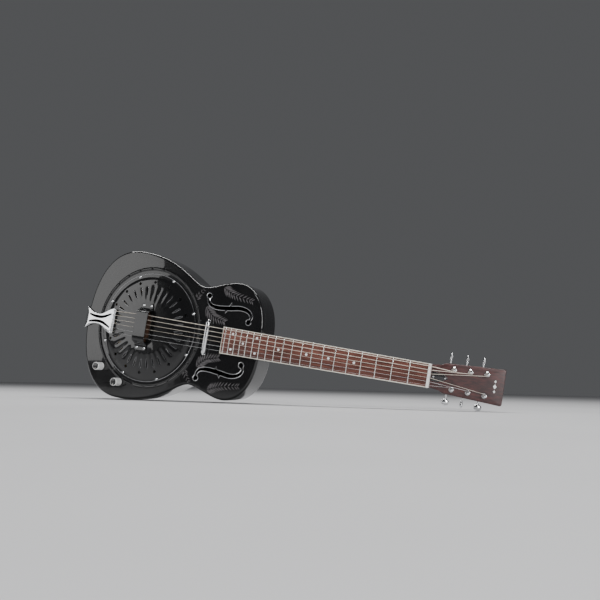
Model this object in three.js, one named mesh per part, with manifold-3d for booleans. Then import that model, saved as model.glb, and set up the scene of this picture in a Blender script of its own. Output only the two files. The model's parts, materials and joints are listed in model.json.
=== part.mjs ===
// Resonator guitar with a lacquered metal body and a spun cone, standing on its treble side.
// Millimetres, +Z up. Every piece is drawn with the instrument lying on its back: x runs from the saddle
// to the headstock, y towards the bass strings, and z out of the body top, which is at z = 0.
// The whole instrument is then stood on its side, with the top facing -Y and the neck towards +X.
import * as THREE from "three";
import { mergeVertices } from "three/addons/utils/BufferGeometryUtils.js";
import Module from "manifold-3d";

// Driving dimensions
const SCALE_LENGTH = 645;
const GAP = 0.3;

const TAIL_X = -174;
const LOWER_BOUT = { x: -56, half: 171 };
const WAIST = { x: 127, half: 109.5 };
const UPPER_BOUT = { x: 211, half: 128 };
const NECK_END_X = 284;
const BODY_DEPTH = 66;
const SHEET = 1.2;
const PAN_LIP = 9;
const EDGE_RADIUS = 5;

const CONE_RADIUS = 113;
const WELL = { inner: 113.6, outer: 115, floor: -27 };
const TOP_OPENING_RADIUS = 115.4;
const COVER_RADIUS = 123.5;
const COVER_SCREW_CIRCLE = 119.8;
const COVER_SCREWS = 8;
const DIAMONDS = { count: 16, circle: 103, half: 4.2 };
const PETALS = { count: 32, inner: 72, outer: 94, innerHalf: 1.4, outerHalf: 2.6 };

const STRING_RADII = [0.68, 0.53, 0.41, 0.3, 0.22, 0.17];
const SADDLE_SPACING = 10.5;
const NUT_SPACING = 7.3;
const ANCHOR = { x: -88, z: 10.2 };
const SADDLE_TOP = 17.4;
const NUT_TOP = 12.9;

const FRETBOARD = { end: 198, top: 11, bottom: 5, crown: 0.9, nutHalf: 21, endHalf: 27 };
const BINDING = 1.6;
const NECK = { bodyHalf: 26.2, nutHalf: 22.2, bodyDepth: 23, nutDepth: 20 };
const HEEL_DEPTH = 58;
const STICK = { half: 14.5, top: -31, bottom: -55 };

const NUT_THICKNESS = 5;
const HEAD = { tilt: 14, length: 136, thickness: 15, shoulderHalf: 29, endHalf: 34.5 };
const POSTS = { along: [41.5, 72, 102.5], out: [18.7, 19.5, 20.3], radius: 3, above: 15 };
const GEAR = { radius: 4.8, teeth: 14, thickness: 4 };
const WORM = { radius: 2, offset: -7.1 };
const BUTTON = { out: 45, across: 8.2, along: 6.2, thick: 3.1 };

const PICKUP = { x: 155, half: 34.5 };
const KNOBS = { volume: [-109, -107], tone: [-53, -134] };
const KNOB = { radius: 9, height: 22, lift: 1.6 };
const JACK = { radius: 4.9, bore: 3.3, length: 27 };

const wasm = await Module();
wasm.setup();

const finish = (color, roughness, metalness) =>
  new THREE.MeshStandardMaterial({ color, roughness, metalness });
const LACQUER = finish(0x0b0b0c, 0.12, 0.2);
const CHROME = finish(0xd8d9dc, 0.12, 1);
const BRASS = finish(0xb58a42, 0.35, 1);
const SPUN = finish(0xb9bcc0, 0.35, 1);
const ROSEWOOD = finish(0x5a2d22, 0.55, 0);
const MAHOGANY = finish(0x2c120d, 0.25, 0);
const MAPLE = finish(0xb88a58, 0.6, 0);
const IVORY = finish(0xe9e3d2, 0.4, 0);
const BLACK_PLASTIC = finish(0x111112, 0.3, 0);
const BRONZE = finish(0xc08f5a, 0.35, 1);
const STEEL = finish(0xc4c6c9, 0.25, 1);

const guitar = new THREE.Group();
const point = (x, y, z) => new THREE.Vector3(x, y, z);
const flat = (x, y) => new THREE.Vector2(x, y);
const radians = THREE.MathUtils.degToRad;

// ---- Solids -------------------------------------------------------------------------------------

// Positions only, shared vertices merged, slivers dropped and the faces turned outwards.
function clean(geometry) {
  const bare = new THREE.BufferGeometry();
  const source = geometry.index ? geometry.toNonIndexed() : geometry;
  bare.setAttribute("position", source.getAttribute("position").clone());
  const merged = mergeVertices(bare, 1e-4);
  const old = merged.index.array;
  const kept = [];
  for (let i = 0; i < old.length; i += 3) {
    const [a, b, c] = [old[i], old[i + 1], old[i + 2]];
    if (a !== b && b !== c && c !== a) kept.push(a, b, c);
  }
  merged.setIndex(kept);
  if (signedVolume(merged) < 0) {
    for (let i = 0; i < kept.length; i += 3) [kept[i + 1], kept[i + 2]] = [kept[i + 2], kept[i + 1]];
    merged.setIndex(kept);
  }
  return merged;
}

function signedVolume(geometry) {
  const position = geometry.getAttribute("position");
  const index = geometry.index.array;
  const corner = (i) => new THREE.Vector3().fromBufferAttribute(position, index[i]);
  let volume = 0;
  for (let i = 0; i < index.length; i += 3) {
    volume += corner(i).dot(corner(i + 1).cross(corner(i + 2))) / 6;
  }
  return volume;
}

function toSolid(geometry) {
  const cleaned = clean(geometry);
  const vertProperties = new Float32Array(cleaned.getAttribute("position").array);
  const triVerts = new Uint32Array(cleaned.index.array);
  return new wasm.Manifold(new wasm.Mesh({ numProp: 3, vertProperties, triVerts }));
}

function toGeometry(solid) {
  const mesh = solid.getMesh();
  const geometry = new THREE.BufferGeometry();
  geometry.setAttribute("position", new THREE.BufferAttribute(mesh.vertProperties, 3));
  geometry.setIndex(new THREE.BufferAttribute(mesh.triVerts, 1));
  return geometry;
}

function join(...pieces) {
  return toGeometry(pieces.map(toSolid).reduce((whole, piece) => whole.add(piece)));
}

function cut(base, ...tools) {
  return toGeometry(tools.map(toSolid).reduce((whole, tool) => whole.subtract(tool), toSolid(base)));
}

// Adds a named piece to a group and gives its mesh back, so that it can be placed.
function piece(name, geometry, material, parent = guitar) {
  const shown = clean(geometry).toNonIndexed();
  shown.computeVertexNormals();
  const mesh = new THREE.Mesh(shown, material);
  mesh.name = name;
  parent.add(mesh);
  return mesh;
}

// ---- Basic forms --------------------------------------------------------------------------------

// A closed solid through rings with the same number of points; plane names the axes its ends lie in.
function loft(rings, plane) {
  const count = rings[0].length;
  const [u, v] = plane;
  const ends = rings.map((ring) => ring.map((p) => flat(p[u], p[v])));
  const turn = Math.sign(THREE.ShapeUtils.area(ends[0]));
  const index = [];
  const cap = (ring, reversed) => {
    for (const [a, b, c] of THREE.ShapeUtils.triangulateShape(ends[ring], [])) {
      const corners = [ends[ring][a], ends[ring][b], ends[ring][c]];
      const same = Math.sign(THREE.ShapeUtils.area(corners)) === turn;
      const [second, third] = same !== reversed ? [b, c] : [c, b];
      index.push(ring * count + a, ring * count + second, ring * count + third);
    }
  };
  cap(0, true);
  for (let ring = 0; ring < rings.length - 1; ring++) {
    for (let i = 0; i < count; i++) {
      const low = ring * count + i;
      const lowNext = ring * count + ((i + 1) % count);
      index.push(low, lowNext, lowNext + count, low, lowNext + count, low + count);
    }
  }
  cap(rings.length - 1, false);
  const geometry = new THREE.BufferGeometry();
  const positions = rings.flat().flatMap((p) => [p.x, p.y, p.z]);
  geometry.setAttribute("position", new THREE.Float32BufferAttribute(positions, 3));
  geometry.setIndex(index);
  return geometry;
}

// A flat outline given thickness from z = low to z = high.
function slab(points, low, high, holes = []) {
  const shape = new THREE.Shape(points);
  shape.holes = holes.map((hole) => new THREE.Path(hole));
  const geometry = new THREE.ExtrudeGeometry(shape, { depth: high - low, bevelEnabled: false, steps: 1 });
  return geometry.translate(0, 0, low);
}

function block(x0, x1, y0, y1, z0, z1) {
  const geometry = new THREE.BoxGeometry(x1 - x0, y1 - y0, z1 - z0);
  return geometry.translate((x0 + x1) / 2, (y0 + y1) / 2, (z0 + z1) / 2);
}

// A turned solid about the z axis from [radius, height] pairs; a profile off the axis closes on itself.
function turned(profile, sides) {
  const onAxis = profile[0][0] === 0 && profile.at(-1)[0] === 0;
  const closed = onAxis ? profile : [...profile, profile[0]];
  const points = closed.map(([radius, height]) => flat(radius, height));
  return new THREE.LatheGeometry(points, sides).rotateX(Math.PI / 2);
}

function disc(radius, low, high, sides) {
  return turned([[0, low], [radius, low], [radius, high], [0, high]], sides);
}

function circle(x, y, radius, sides) {
  const corners = Array.from({ length: sides }, (_, i) => (2 * Math.PI * i) / sides);
  return corners.map((angle) => flat(x + radius * Math.cos(angle), y + radius * Math.sin(angle)));
}

// A straight round wire between two points.
function rod(from, to, radius, sides) {
  const direction = to.clone().sub(from);
  const geometry = new THREE.CylinderGeometry(radius, radius, direction.length(), sides);
  const turn = new THREE.Quaternion().setFromUnitVectors(point(0, 1, 0), direction.normalize());
  geometry.applyQuaternion(turn);
  const middle = from.clone().add(to).multiplyScalar(0.5);
  return geometry.translate(middle.x, middle.y, middle.z);
}

const mirrored = (points) => points.map((p) => flat(p.x, -p.y));
const polar = (radius, angle) => [radius * Math.cos(angle), radius * Math.sin(angle)];

// ---- Body shell ---------------------------------------------------------------------------------

// The bass half of the body outline, from the tail to the neck end.
function halfOutline() {
  const path = new THREE.Path();
  path.moveTo(TAIL_X, 0);
  path.bezierCurveTo(TAIL_X, 96, -137, LOWER_BOUT.half, LOWER_BOUT.x, LOWER_BOUT.half);
  path.bezierCurveTo(55, LOWER_BOUT.half, 97, WAIST.half, WAIST.x, WAIST.half);
  path.bezierCurveTo(150, WAIST.half, 183, UPPER_BOUT.half, UPPER_BOUT.x, UPPER_BOUT.half);
  path.bezierCurveTo(250, UPPER_BOUT.half, NECK_END_X - 1, 90, NECK_END_X, 28);
  path.lineTo(NECK_END_X, 16);
  return path.getPoints(8);
}

function bodyOutline() {
  const half = halfOutline();
  return [...half, ...mirrored(half.slice(1)).reverse()];
}

// The closed outline moved inwards by a distance, measured square to its edge.
function inset(points, distance) {
  const count = points.length;
  return points.map((p, i) => {
    const before = points[(i + count - 1) % count];
    const after = points[(i + 1) % count];
    const along = after.clone().sub(before).normalize();
    return flat(p.x + along.y * distance, p.y - along.x * distance);
  });
}

// A shell lid: the flat sheet, its rolled edge and a short lip, facing up with its face at z = 0.
function lid(outline, sheet) {
  const ring = (distance, z) => inset(outline, distance).map((p) => point(p.x, p.y, z));
  const outside = [[0, -PAN_LIP], [0, -EDGE_RADIUS], [1.5, -1.5], [EDGE_RADIUS, 0]];
  const inside = [
    [0, -PAN_LIP - 1], [0, -EDGE_RADIUS], [1.1, -1.1 - sheet], [EDGE_RADIUS - sheet, -sheet],
  ];
  const outer = loft(outside.map(([distance, z]) => ring(distance, z)), ["x", "y"]);
  const inner = loft(inside.map(([distance, z]) => ring(distance + sheet, z)), ["x", "y"]);
  return cut(outer, inner);
}

// One f-shaped sound hole: a slot that swells in the middle, an eye at each end and two nicks.
function soundHole(side) {
  const line = new THREE.SplineCurve([
    flat(142, 90), flat(144, 78), flat(154, 70), flat(172, 68), flat(198, 70),
    flat(224, 73), flat(243, 69), flat(252, 59), flat(249, 47),
  ]);
  const steps = 16;
  const left = [];
  const right = [];
  for (let i = 0; i <= steps; i++) {
    const t = i / steps;
    const middle = line.getPoint(t);
    const along = line.getTangent(t);
    const half = 2 + 3 * Math.sin(Math.PI * t);
    left.push(flat(middle.x - along.y * half, middle.y + along.x * half));
    right.push(flat(middle.x + along.y * half, middle.y - along.x * half));
  }
  const outlines = [
    [...left, ...right.reverse()],
    circle(143, 91, 6.2, 12),
    circle(247.5, 46, 6.2, 12),
    [flat(186, 70), flat(189, 58), flat(195, 70)],
    [flat(194, 70), flat(200, 82), flat(203, 70)],
  ];
  const placed = outlines.map((points) => (side > 0 ? points : mirrored(points)));
  return join(...placed.map((points) => slab(points, -3, 3)));
}

const screwAngle = (i) => ((i + 0.5) * 2 * Math.PI) / COVER_SCREWS;

function bodyTop(outline) {
  const openings = [disc(TOP_OPENING_RADIUS, -3, 3, 44), soundHole(1), soundHole(-1)];
  for (let i = 0; i < COVER_SCREWS; i++) {
    const [x, y] = polar(COVER_SCREW_CIRCLE, screwAngle(i));
    openings.push(disc(1.8, -3, 3, 6).translate(x, y, 0));
  }
  for (const [x, y] of Object.values(KNOBS)) openings.push(disc(4.4, -3, 3, 10).translate(x, y, 0));
  return cut(lid(outline, SHEET), ...openings);
}

function bodyBack(outline) {
  const facingDown = lid(outline, SHEET).rotateX(Math.PI);
  return facingDown.translate(0, 0, -BODY_DEPTH);
}

// One side of the body, from the tail joint to the slot that the neck stick passes through.
function bodySide(side) {
  const outer = halfOutline();
  outer[0] = flat(TAIL_X, GAP / 2);
  const closed = bodyOutline();
  const inner = inset(closed, SHEET).slice(0, outer.length);
  inner[0] = flat(TAIL_X + SHEET, GAP / 2);
  inner[inner.length - 1] = flat(NECK_END_X - SHEET, 16);
  const outline = [...outer, ...inner.reverse()];
  const band = slab(side > 0 ? outline : mirrored(outline), -BODY_DEPTH + PAN_LIP + GAP, -PAN_LIP - GAP);
  return side > 0 ? band : cut(band, jackHole());
}

// ---- Resonator ----------------------------------------------------------------------------------

// The pan under the top: a wall with sound windows and a ledge that the rim of the cone sits on.
function soundWell() {
  const { inner, outer, floor } = WELL;
  const ledge = inner - 9;
  const pan = turned([
    [outer, -SHEET - GAP], [outer, floor], [ledge, floor],
    [ledge, floor + SHEET], [inner, floor + SHEET], [inner, -SHEET - GAP],
  ], 36);
  const windows = Array.from({ length: 9 }, (_, i) => {
    const window = new THREE.CylinderGeometry(6.5, 6.5, 12, 6);
    window.rotateX(Math.PI / 2);
    window.rotateY(Math.PI / 2);
    window.rotateX(Math.PI / 6);
    window.translate(outer - 1, 0, -14);
    return window.rotateZ(((i + 0.5) * 2 * Math.PI) / 9);
  });
  return cut(pan, ...windows);
}

function resonatorCone() {
  const rim = WELL.floor + SHEET + GAP;
  const upper = [
    [CONE_RADIUS, rim + 1.6], [CONE_RADIUS - 5, rim + 1.6], [CONE_RADIUS - 9, rim + 0.9],
    [78, -17.6], [74, -15.2], [30, -4.6], [26, -2.9], [0, -2.9],
  ];
  const lower = upper.map(([radius, z]) => [radius, z - 0.9]).reverse();
  return turned([...lower, ...upper], 30);
}

function biscuit() {
  return disc(25, -2.6, 5.4, 24);
}

// The strip that the strings bear on, notched for each string.
function saddle() {
  const strip = block(-2, 2, -34, 34, 5.4 + GAP, SADDLE_TOP);
  return cut(strip, ...stringNotches(-4, 4, SADDLE_SPACING, SADDLE_TOP - 0.9));
}

function stringNotches(x0, x1, spacing, floor) {
  return STRING_RADII.map((radius, i) => {
    const y = (2.5 - i) * spacing;
    const half = radius + GAP;
    return block(x0, x1, y - half, y + half, floor - 0.4, floor + 10);
  });
}

// The height of the cover plate's upper face at a radius.
const COVER_PROFILE = [[0, 9], [60, 7.8], [96, 5.4], [109, 3.9], [115, 1.7], [COVER_RADIUS, 1.5]];

function coverPlate() {
  const thickness = 1.1;
  const under = COVER_PROFILE.map(([radius, z]) => [radius, z - thickness]).reverse();
  const dome = turned([...COVER_PROFILE, ...under], 44);
  const openings = [block(-9.5, 9.5, -36, 36, -5, 20)];
  for (let i = 0; i < PETALS.count; i++) openings.push(petal((2 * Math.PI * i) / PETALS.count));
  for (let i = 0; i < DIAMONDS.count; i++) openings.push(diamond((2 * Math.PI * i) / DIAMONDS.count));
  for (let i = 0; i < COVER_SCREWS; i++) {
    const [x, y] = polar(COVER_SCREW_CIRCLE, screwAngle(i));
    openings.push(disc(1.8, -5, 20, 6).translate(x, y, 0));
  }
  for (const [x, y] of handRestScrews()) openings.push(disc(1.4, -5, 20, 6).translate(x, y, 0));
  return cut(dome, ...openings);
}

// A slim opening that widens outwards, like a petal.
function petal(angle) {
  const { inner, outer, innerHalf, outerHalf } = PETALS;
  const points = [
    flat(inner, -innerHalf), flat(outer - 2, -outerHalf), flat(outer, 0), flat(outer - 2, outerHalf),
    flat(inner, innerHalf),
  ];
  return slab(points, -5, 20).rotateZ(angle);
}

function diamond(angle) {
  const { circle: radius, half } = DIAMONDS;
  const points = [
    flat(radius - half, 0), flat(radius, -half), flat(radius + half, 0), flat(radius, half),
  ];
  return slab(points, -5, 20).rotateZ(angle);
}

function coverScrew() {
  return turned([[0, -5], [1.4, -5], [1.4, 0], [3.1, 0], [2.5, 1.3], [0, 1.8]], 8);
}

// ---- Hand rest ----------------------------------------------------------------------------------

const REST = { x0: -22, x1: 10, plateHalf: 34, footIn: 41, footOut: 54, foot: 9.2, top: 26, sheet: 1.6 };

function handRestScrews() {
  return [[-15, 48], [5, 48], [-15, -48], [5, -48]];
}

// A bent strip that bridges the saddle: two feet, two sloping legs and the plate the hand lies on.
function handRest() {
  const { x0, x1, plateHalf, footIn, footOut, foot, top, sheet } = REST;
  const half = [
    flat(0, top), flat(plateHalf - 3, top - 0.8), flat(plateHalf, top - 2.4), flat(footIn, foot + sheet),
    flat(footOut, foot + sheet),
  ];
  const under = [
    flat(footOut, foot), flat(footIn - 1.4, foot), flat(plateHalf - 1.6, top - 3.6),
    flat(plateHalf - 4, top - 0.8 - sheet), flat(0, top - sheet),
  ];
  const right = [...half, ...under];
  const left = right.slice(1, -1).reverse().map((p) => flat(-p.x, p.y));
  const strip = slab([...right, ...left], x0, x1);
  strip.rotateX(Math.PI / 2);
  strip.rotateZ(Math.PI / 2);
  const holes = handRestScrews().map(([x, y]) => disc(1.4, 0, 20, 6).translate(x, y, 0));
  return cut(strip, ...holes);
}

function handRestScrew() {
  return turned([[0, -4], [1, -4], [1, 0], [2.6, 0], [0, 1.6]], 6);
}

// ---- Neck ---------------------------------------------------------------------------------------

const nutX = SCALE_LENGTH;
const neckFraction = (x) => (x - NECK_END_X) / (nutX - NECK_END_X);
const neckHalf = (x) => THREE.MathUtils.lerp(NECK.bodyHalf, NECK.nutHalf, neckFraction(x));
const neckTop = FRETBOARD.bottom - GAP;

// A D-shaped section: flat on top, round below.
function neckSection(x, half, depth, top = neckTop, roundness = 1) {
  const arc = 12;
  return Array.from({ length: arc + 1 }, (_, i) => {
    const angle = Math.PI * (i / arc);
    const y = half * Math.cos(angle);
    const z = top - 3 - (depth - 3) * Math.sin(angle) ** roundness;
    return point(x, y, i === 0 || i === arc ? top : z);
  });
}

function neckShaft() {
  const heelStart = NECK_END_X + GAP;
  const stations = [heelStart, 294, 304, 316, 332, 360, 480, nutX - 10];
  const rings = stations.map((x) => {
    const plain = THREE.MathUtils.lerp(NECK.bodyDepth, NECK.nutDepth, neckFraction(x));
    const heel = (HEEL_DEPTH - NECK.bodyDepth) * Math.exp(-(((x - heelStart) / 24) ** 2));
    return neckSection(x, neckHalf(x), plain + heel, neckTop, 0.9);
  });
  const drop = Math.tan(radians(HEAD.tilt));
  const behind = [[nutX + 6, 22, 20.5], [nutX + 18, 24, 18], [nutX + 34, 24, 14]];
  for (const [x, half, depth] of behind) {
    const top = neckTop - Math.max(0, x - nutX - NUT_THICKNESS) * drop - 0.5;
    rings.push(neckSection(x, half, depth, top, 0.8));
  }
  return loft(rings, ["y", "z"]);
}

function headOutline() {
  const { length, shoulderHalf, endHalf } = HEAD;
  const path = new THREE.Path();
  path.moveTo(0, -22.2);
  path.lineTo(10, -22.4);
  path.bezierCurveTo(20, -22.6, 20, -shoulderHalf, 31, -shoulderHalf);
  path.lineTo(length - 4, -endHalf);
  path.quadraticCurveTo(length, -endHalf, length, -endHalf + 4);
  const half = path.getPoints(5);
  return [...half, ...mirrored(half).reverse()];
}

// The headstock's own frame: x away from the nut, z out of its face.
function inHeadFrame(geometry) {
  return geometry.rotateY(radians(HEAD.tilt)).translate(nutX + NUT_THICKNESS, 0, neckTop);
}

function neck() {
  const holes = [];
  for (const side of [1, -1]) {
    POSTS.along.forEach((along, i) => {
      holes.push(circle(along, side * POSTS.out[i], POSTS.radius + 1, 10));
    });
  }
  const head = inHeadFrame(slab(headOutline(), -HEAD.thickness, 0, holes));
  return cut(join(neckShaft(), head), rodChannel());
}

const ROD = { x0: 300, x1: nutX + 12, half: 3.2, floor: -6 };

function rodChannel() {
  return block(ROD.x0, ROD.x1, -ROD.half, ROD.half, ROD.floor, neckTop + 6);
}

function trussRod() {
  const z = (ROD.floor + neckTop) / 2;
  return rod(point(ROD.x0 + 1, 0, z), point(nutX + 8, 0, z), 2.6, 8);
}

function fretboardRing(x, half) {
  const { top, bottom, crown } = FRETBOARD;
  const across = [-1, -0.6, -0.2, 0.2, 0.6, 1];
  const upper = across.map((s) => point(x, s * half, top - crown * s * s));
  return [point(x, half, bottom), point(x, -half, bottom), ...upper];
}

function fretboard() {
  const { end, nutHalf, endHalf } = FRETBOARD;
  return loft([fretboardRing(end, endHalf), fretboardRing(nutX - GAP, nutHalf)], ["y", "z"]);
}

// A strip round the long edges and the body end of the fretboard.
function fretboardBinding() {
  const { end, top, bottom, crown, nutHalf, endHalf } = FRETBOARD;
  const inner = [flat(nutX - GAP, nutHalf + GAP), flat(end - GAP, endHalf + GAP)];
  const outer = [
    flat(nutX - GAP, nutHalf + GAP + BINDING), flat(end - GAP - BINDING, endHalf + GAP + BINDING),
  ];
  const outline = [...inner, ...mirrored(inner).reverse(), ...mirrored(outer), ...outer.reverse()];
  return slab(outline, bottom, top - crown);
}

function nut() {
  const half = FRETBOARD.nutHalf + GAP + BINDING;
  const body = block(nutX, nutX + NUT_THICKNESS - GAP, -half, half, neckTop + GAP, NUT_TOP + 0.9);
  return cut(body, ...stringNotches(nutX - 2, nutX + 8, NUT_SPACING, NUT_TOP - 0.4));
}

function trussRodCover() {
  const path = new THREE.Path();
  path.moveTo(1.5, -9.5);
  path.bezierCurveTo(14, -9, 20, -8, 27, -4);
  path.quadraticCurveTo(31, -2, 32, 0);
  const half = path.getPoints(5);
  return slab([...half, ...mirrored(half.slice(0, -1)).reverse()], GAP, GAP + 1.8);
}

// ---- Tuning machines ----------------------------------------------------------------------------

function gearOutline() {
  const points = [];
  for (let i = 0; i < GEAR.teeth * 2; i++) {
    const radius = i % 2 === 0 ? GEAR.radius : GEAR.radius - 1.1;
    const [x, y] = polar(radius, (Math.PI * i) / GEAR.teeth);
    points.push(flat(x, y));
  }
  return points;
}

const plateBack = -HEAD.thickness - GAP - 1.2;
const gearTop = plateBack - GAP;
const wormLevel = gearTop - GEAR.thickness / 2 - 0.3;

// The string post with its gear, turned about its own z axis; z = 0 is level with the headstock face.
function tunerPost() {
  const { radius, above } = POSTS;
  const low = gearTop - GEAR.thickness - 1;
  const post = turned([
    [0, low], [radius - 0.6, low], [radius, gearTop - 1], [radius, 8.5], [radius - 0.7, 10],
    [radius, 11.5], [radius, above - 1], [0, above],
  ], 8);
  const gear = slab(gearOutline(), gearTop - GEAR.thickness, gearTop);
  return join(post, gear);
}

// The worm, its shaft and the oval button, turned about its own z axis, which points out of the side.
function tunerButton(out) {
  const reach = BUTTON.out - out;
  const shaft = turned([
    [0, -8], [1.5, -8], [1.5, -5], [WORM.radius, -5], [WORM.radius, 5], [1.5, 5], [1.5, reach - 7],
    [2.6, reach - 6.4], [2.6, reach - 3], [0, reach - 3],
  ], 6);
  const oval = turned([[0, -1], [0.6, -0.8], [0.95, -0.3], [0.95, 0.3], [0.6, 0.8], [0, 1]], 10);
  oval.scale(BUTTON.across, BUTTON.thick, BUTTON.along).translate(0, 0, reach);
  return join(shaft, oval);
}

// The plate on the back of the headstock with two bearing ears for each worm.
function tunerPlate(side) {
  const [first, , last] = POSTS.along;
  const slope = (HEAD.endHalf - HEAD.shoulderHalf) / HEAD.length;
  const edge = (u, inward) => side * (POSTS.out[0] + slope * (u - first) - inward);
  const plate = slab(
    [
      flat(first - 12, edge(first - 12, 9)), flat(last + 18, edge(last + 18, 9)),
      flat(last + 18, edge(last + 18, -9)), flat(first - 12, edge(first - 12, -9)),
    ],
    plateBack, plateBack + 1.2,
  );
  const ears = [];
  const bores = [];
  POSTS.along.forEach((along, i) => {
    const v = side * POSTS.out[i];
    const u = along + WORM.offset;
    for (const step of [-6.6, 6.6]) {
      const [near, far] = [v + step - 0.9, v + step + 0.9];
      ears.push(block(u - 2.6, u + 2.6, near, far, wormLevel - 2.6, plateBack + 0.6));
    }
    bores.push(rod(point(u, v - 9, wormLevel), point(u, v + 9, wormLevel), 1.5 + GAP, 8));
    bores.push(disc(POSTS.radius + 0.5, plateBack - 2, plateBack + 4, 8).translate(along, v, 0));
  });
  return cut(join(plate, ...ears), ...bores);
}

// Quarter turns that leave some buttons broadside and some edge-on.
const BUTTON_REST = { bass: [90, 90, 90], treble: [0, 90, 0] };

function addTuners() {
  const head = new THREE.Group();
  head.position.set(nutX + NUT_THICKNESS, 0, neckTop);
  head.rotation.y = radians(HEAD.tilt);
  guitar.add(head);
  piece("truss_rod_cover", trussRodCover(), BLACK_PLASTIC, head);
  for (const [side, name] of [[1, "bass"], [-1, "treble"]]) {
    piece(`tuner_plate_${name}`, tunerPlate(side), CHROME, head);
    POSTS.along.forEach((along, i) => {
      const v = side * POSTS.out[i];
      const post = piece(`string_post_${name}_${i + 1}`, tunerPost(), CHROME, head);
      post.position.set(along, v, 0);
      const button = piece(`tuner_button_${name}_${i + 1}`, tunerButton(POSTS.out[i]), CHROME, head);
      button.position.set(along + WORM.offset, v, wormLevel);
      button.rotation.set(side * -Math.PI / 2, 0, radians(BUTTON_REST[name][i]), "XYZ");
    });
  }
}

// ---- Strings ------------------------------------------------------------------------------------

// Where a string leaves its post, in the instrument's frame.
function postContact(i) {
  const onBass = i < 3;
  const place = onBass ? i : 5 - i;
  const side = onBass ? 1 : -1;
  const away = POSTS.radius + STRING_RADII[i] + GAP;
  const local = point(POSTS.along[place] - 1, side * (POSTS.out[place] - away), 9.2);
  local.applyAxisAngle(point(0, 1, 0), radians(HEAD.tilt));
  return local.add(point(nutX + NUT_THICKNESS, 0, neckTop));
}

// One string from the tailpiece over the saddle and the nut to its post.
function instrumentString(i) {
  const radius = STRING_RADII[i];
  const place = 2.5 - i;
  const route = [
    point(ANCHOR.x + 1.2, place * 9.6, ANCHOR.z),
    point(0, place * SADDLE_SPACING, SADDLE_TOP - 1.3 + GAP + radius),
    point(nutX + 4, place * NUT_SPACING, NUT_TOP - 0.8 + GAP + radius),
    postContact(i),
  ];
  const spans = [];
  for (let k = 0; k < route.length - 1; k++) {
    const along = route[k + 1].clone().sub(route[k]).normalize();
    const before = k === 0 ? 0 : radius * 0.3;
    const after = k === route.length - 2 ? 0 : radius * 0.3;
    const start = route[k].clone().addScaledVector(along, -before);
    spans.push(rod(start, route[k + 1].clone().addScaledVector(along, after), radius, 6));
  }
  return join(...spans);
}

// ---- Tailpiece and fittings ---------------------------------------------------------------------

const TAIL = { endHalf: 25, waistHalf: 11.5, barHalf: 29, sheet: 1.8, low: 1.6 };

// The upper outline of the tailpiece, bass half: a flared foot, a waist and a wide string bar.
function tailOutline() {
  const path = new THREE.Path();
  path.moveTo(TAIL_X - 1.8, TAIL.endHalf);
  const waistX = TAIL_X + 36;
  path.bezierCurveTo(TAIL_X + 16, TAIL.waistHalf + 2, TAIL_X + 22, TAIL.waistHalf, waistX, TAIL.waistHalf);
  path.bezierCurveTo(-124, TAIL.waistHalf, -112, 26, -96, TAIL.barHalf);
  path.lineTo(ANCHOR.x, TAIL.barHalf - 1);
  const half = path.getPoints(7);
  return [...half, ...mirrored(half).reverse()];
}

// A curved slot that follows each flare and is widest in the middle.
function tailSlot(side) {
  const line = new THREE.SplineCurve([flat(-166, 9), flat(-146, 5.5), flat(-124, 6.5), flat(-100, 16)]);
  const left = [];
  const right = [];
  for (let i = 0; i <= 8; i++) {
    const middle = line.getPoint(i / 8);
    const along = line.getTangent(i / 8);
    const half = 0.9 + 2.2 * Math.sin((Math.PI * i) / 8);
    left.push(flat(middle.x - along.y * half, middle.y + along.x * half));
    right.push(flat(middle.x + along.y * half, middle.y - along.x * half));
  }
  const points = [...left, ...right.reverse()];
  return slab(side > 0 ? points : mirrored(points), -5, 20);
}

// The sheet climbs from the body edge to the string bar, and a flange goes down over the tail.
function tailpiece() {
  const sheet = slab(tailOutline(), TAIL.low, TAIL.low + TAIL.sheet);
  const barEnd = (side) => point(ANCHOR.x - 2.6, side * (TAIL.barHalf - 1), TAIL.low + 1.9);
  const bar = rod(barEnd(-1), barEnd(1), 2.6, 8);
  const rise = Math.atan2(ANCHOR.z - TAIL.low - 2, ANCHOR.x - TAIL_X);
  const whole = cut(join(sheet, bar), tailSlot(1), tailSlot(-1));
  whole.translate(-TAIL_X, 0, -TAIL.low).rotateY(-rise).translate(TAIL_X, 0, TAIL.low);
  const flange = block(TAIL_X - 2.1, TAIL_X - GAP, -TAIL.endHalf, TAIL.endHalf, -30, TAIL.low + 1.4);
  const hole = rod(point(TAIL_X - 6, 0, -20), point(TAIL_X + 6, 0, -20), 3.4, 10);
  return cut(join(whole, flange), hole);
}

// The end pin that holds the tailpiece flange and takes a strap.
function strapButton() {
  const profile = [
    [0, 0], [2.9, 0], [2.9, 2.2], [6.4, 2.2], [6.4, 4], [4.2, 6], [4.2, 9], [7, 12], [7, 14], [0, 14],
  ];
  const pin = turned(profile, 12);
  return pin.rotateY(-Math.PI / 2).translate(TAIL_X - GAP, 0, -20);
}

function pickup() {
  const { x, half } = PICKUP;
  const tube = turned([
    [0, -half - 4.6], [2.2, -half - 4.6], [2.6, -half - 3], [4.6, -half], [5.6, -half + 3],
    [5.6, half - 3], [4.6, half], [2.6, half + 3], [2.2, half + 4.6], [0, half + 4.6],
  ], 14);
  tube.rotateX(Math.PI / 2).translate(x, 0, 6.6);
  const feet = [-1, 1].map((side) => disc(2.4, GAP, 7, 8).translate(x, side * (half + 1.6), 0));
  return join(tube, ...feet);
}

function pot() {
  const can = disc(11.5, -16, -6, 16);
  const bushing = disc(3.8, -7, 3.6, 10);
  return cut(join(can, bushing), disc(2.9, -30, 30, 8));
}

function knobShaft() {
  return disc(2.55, -12, 9, 8);
}

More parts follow.
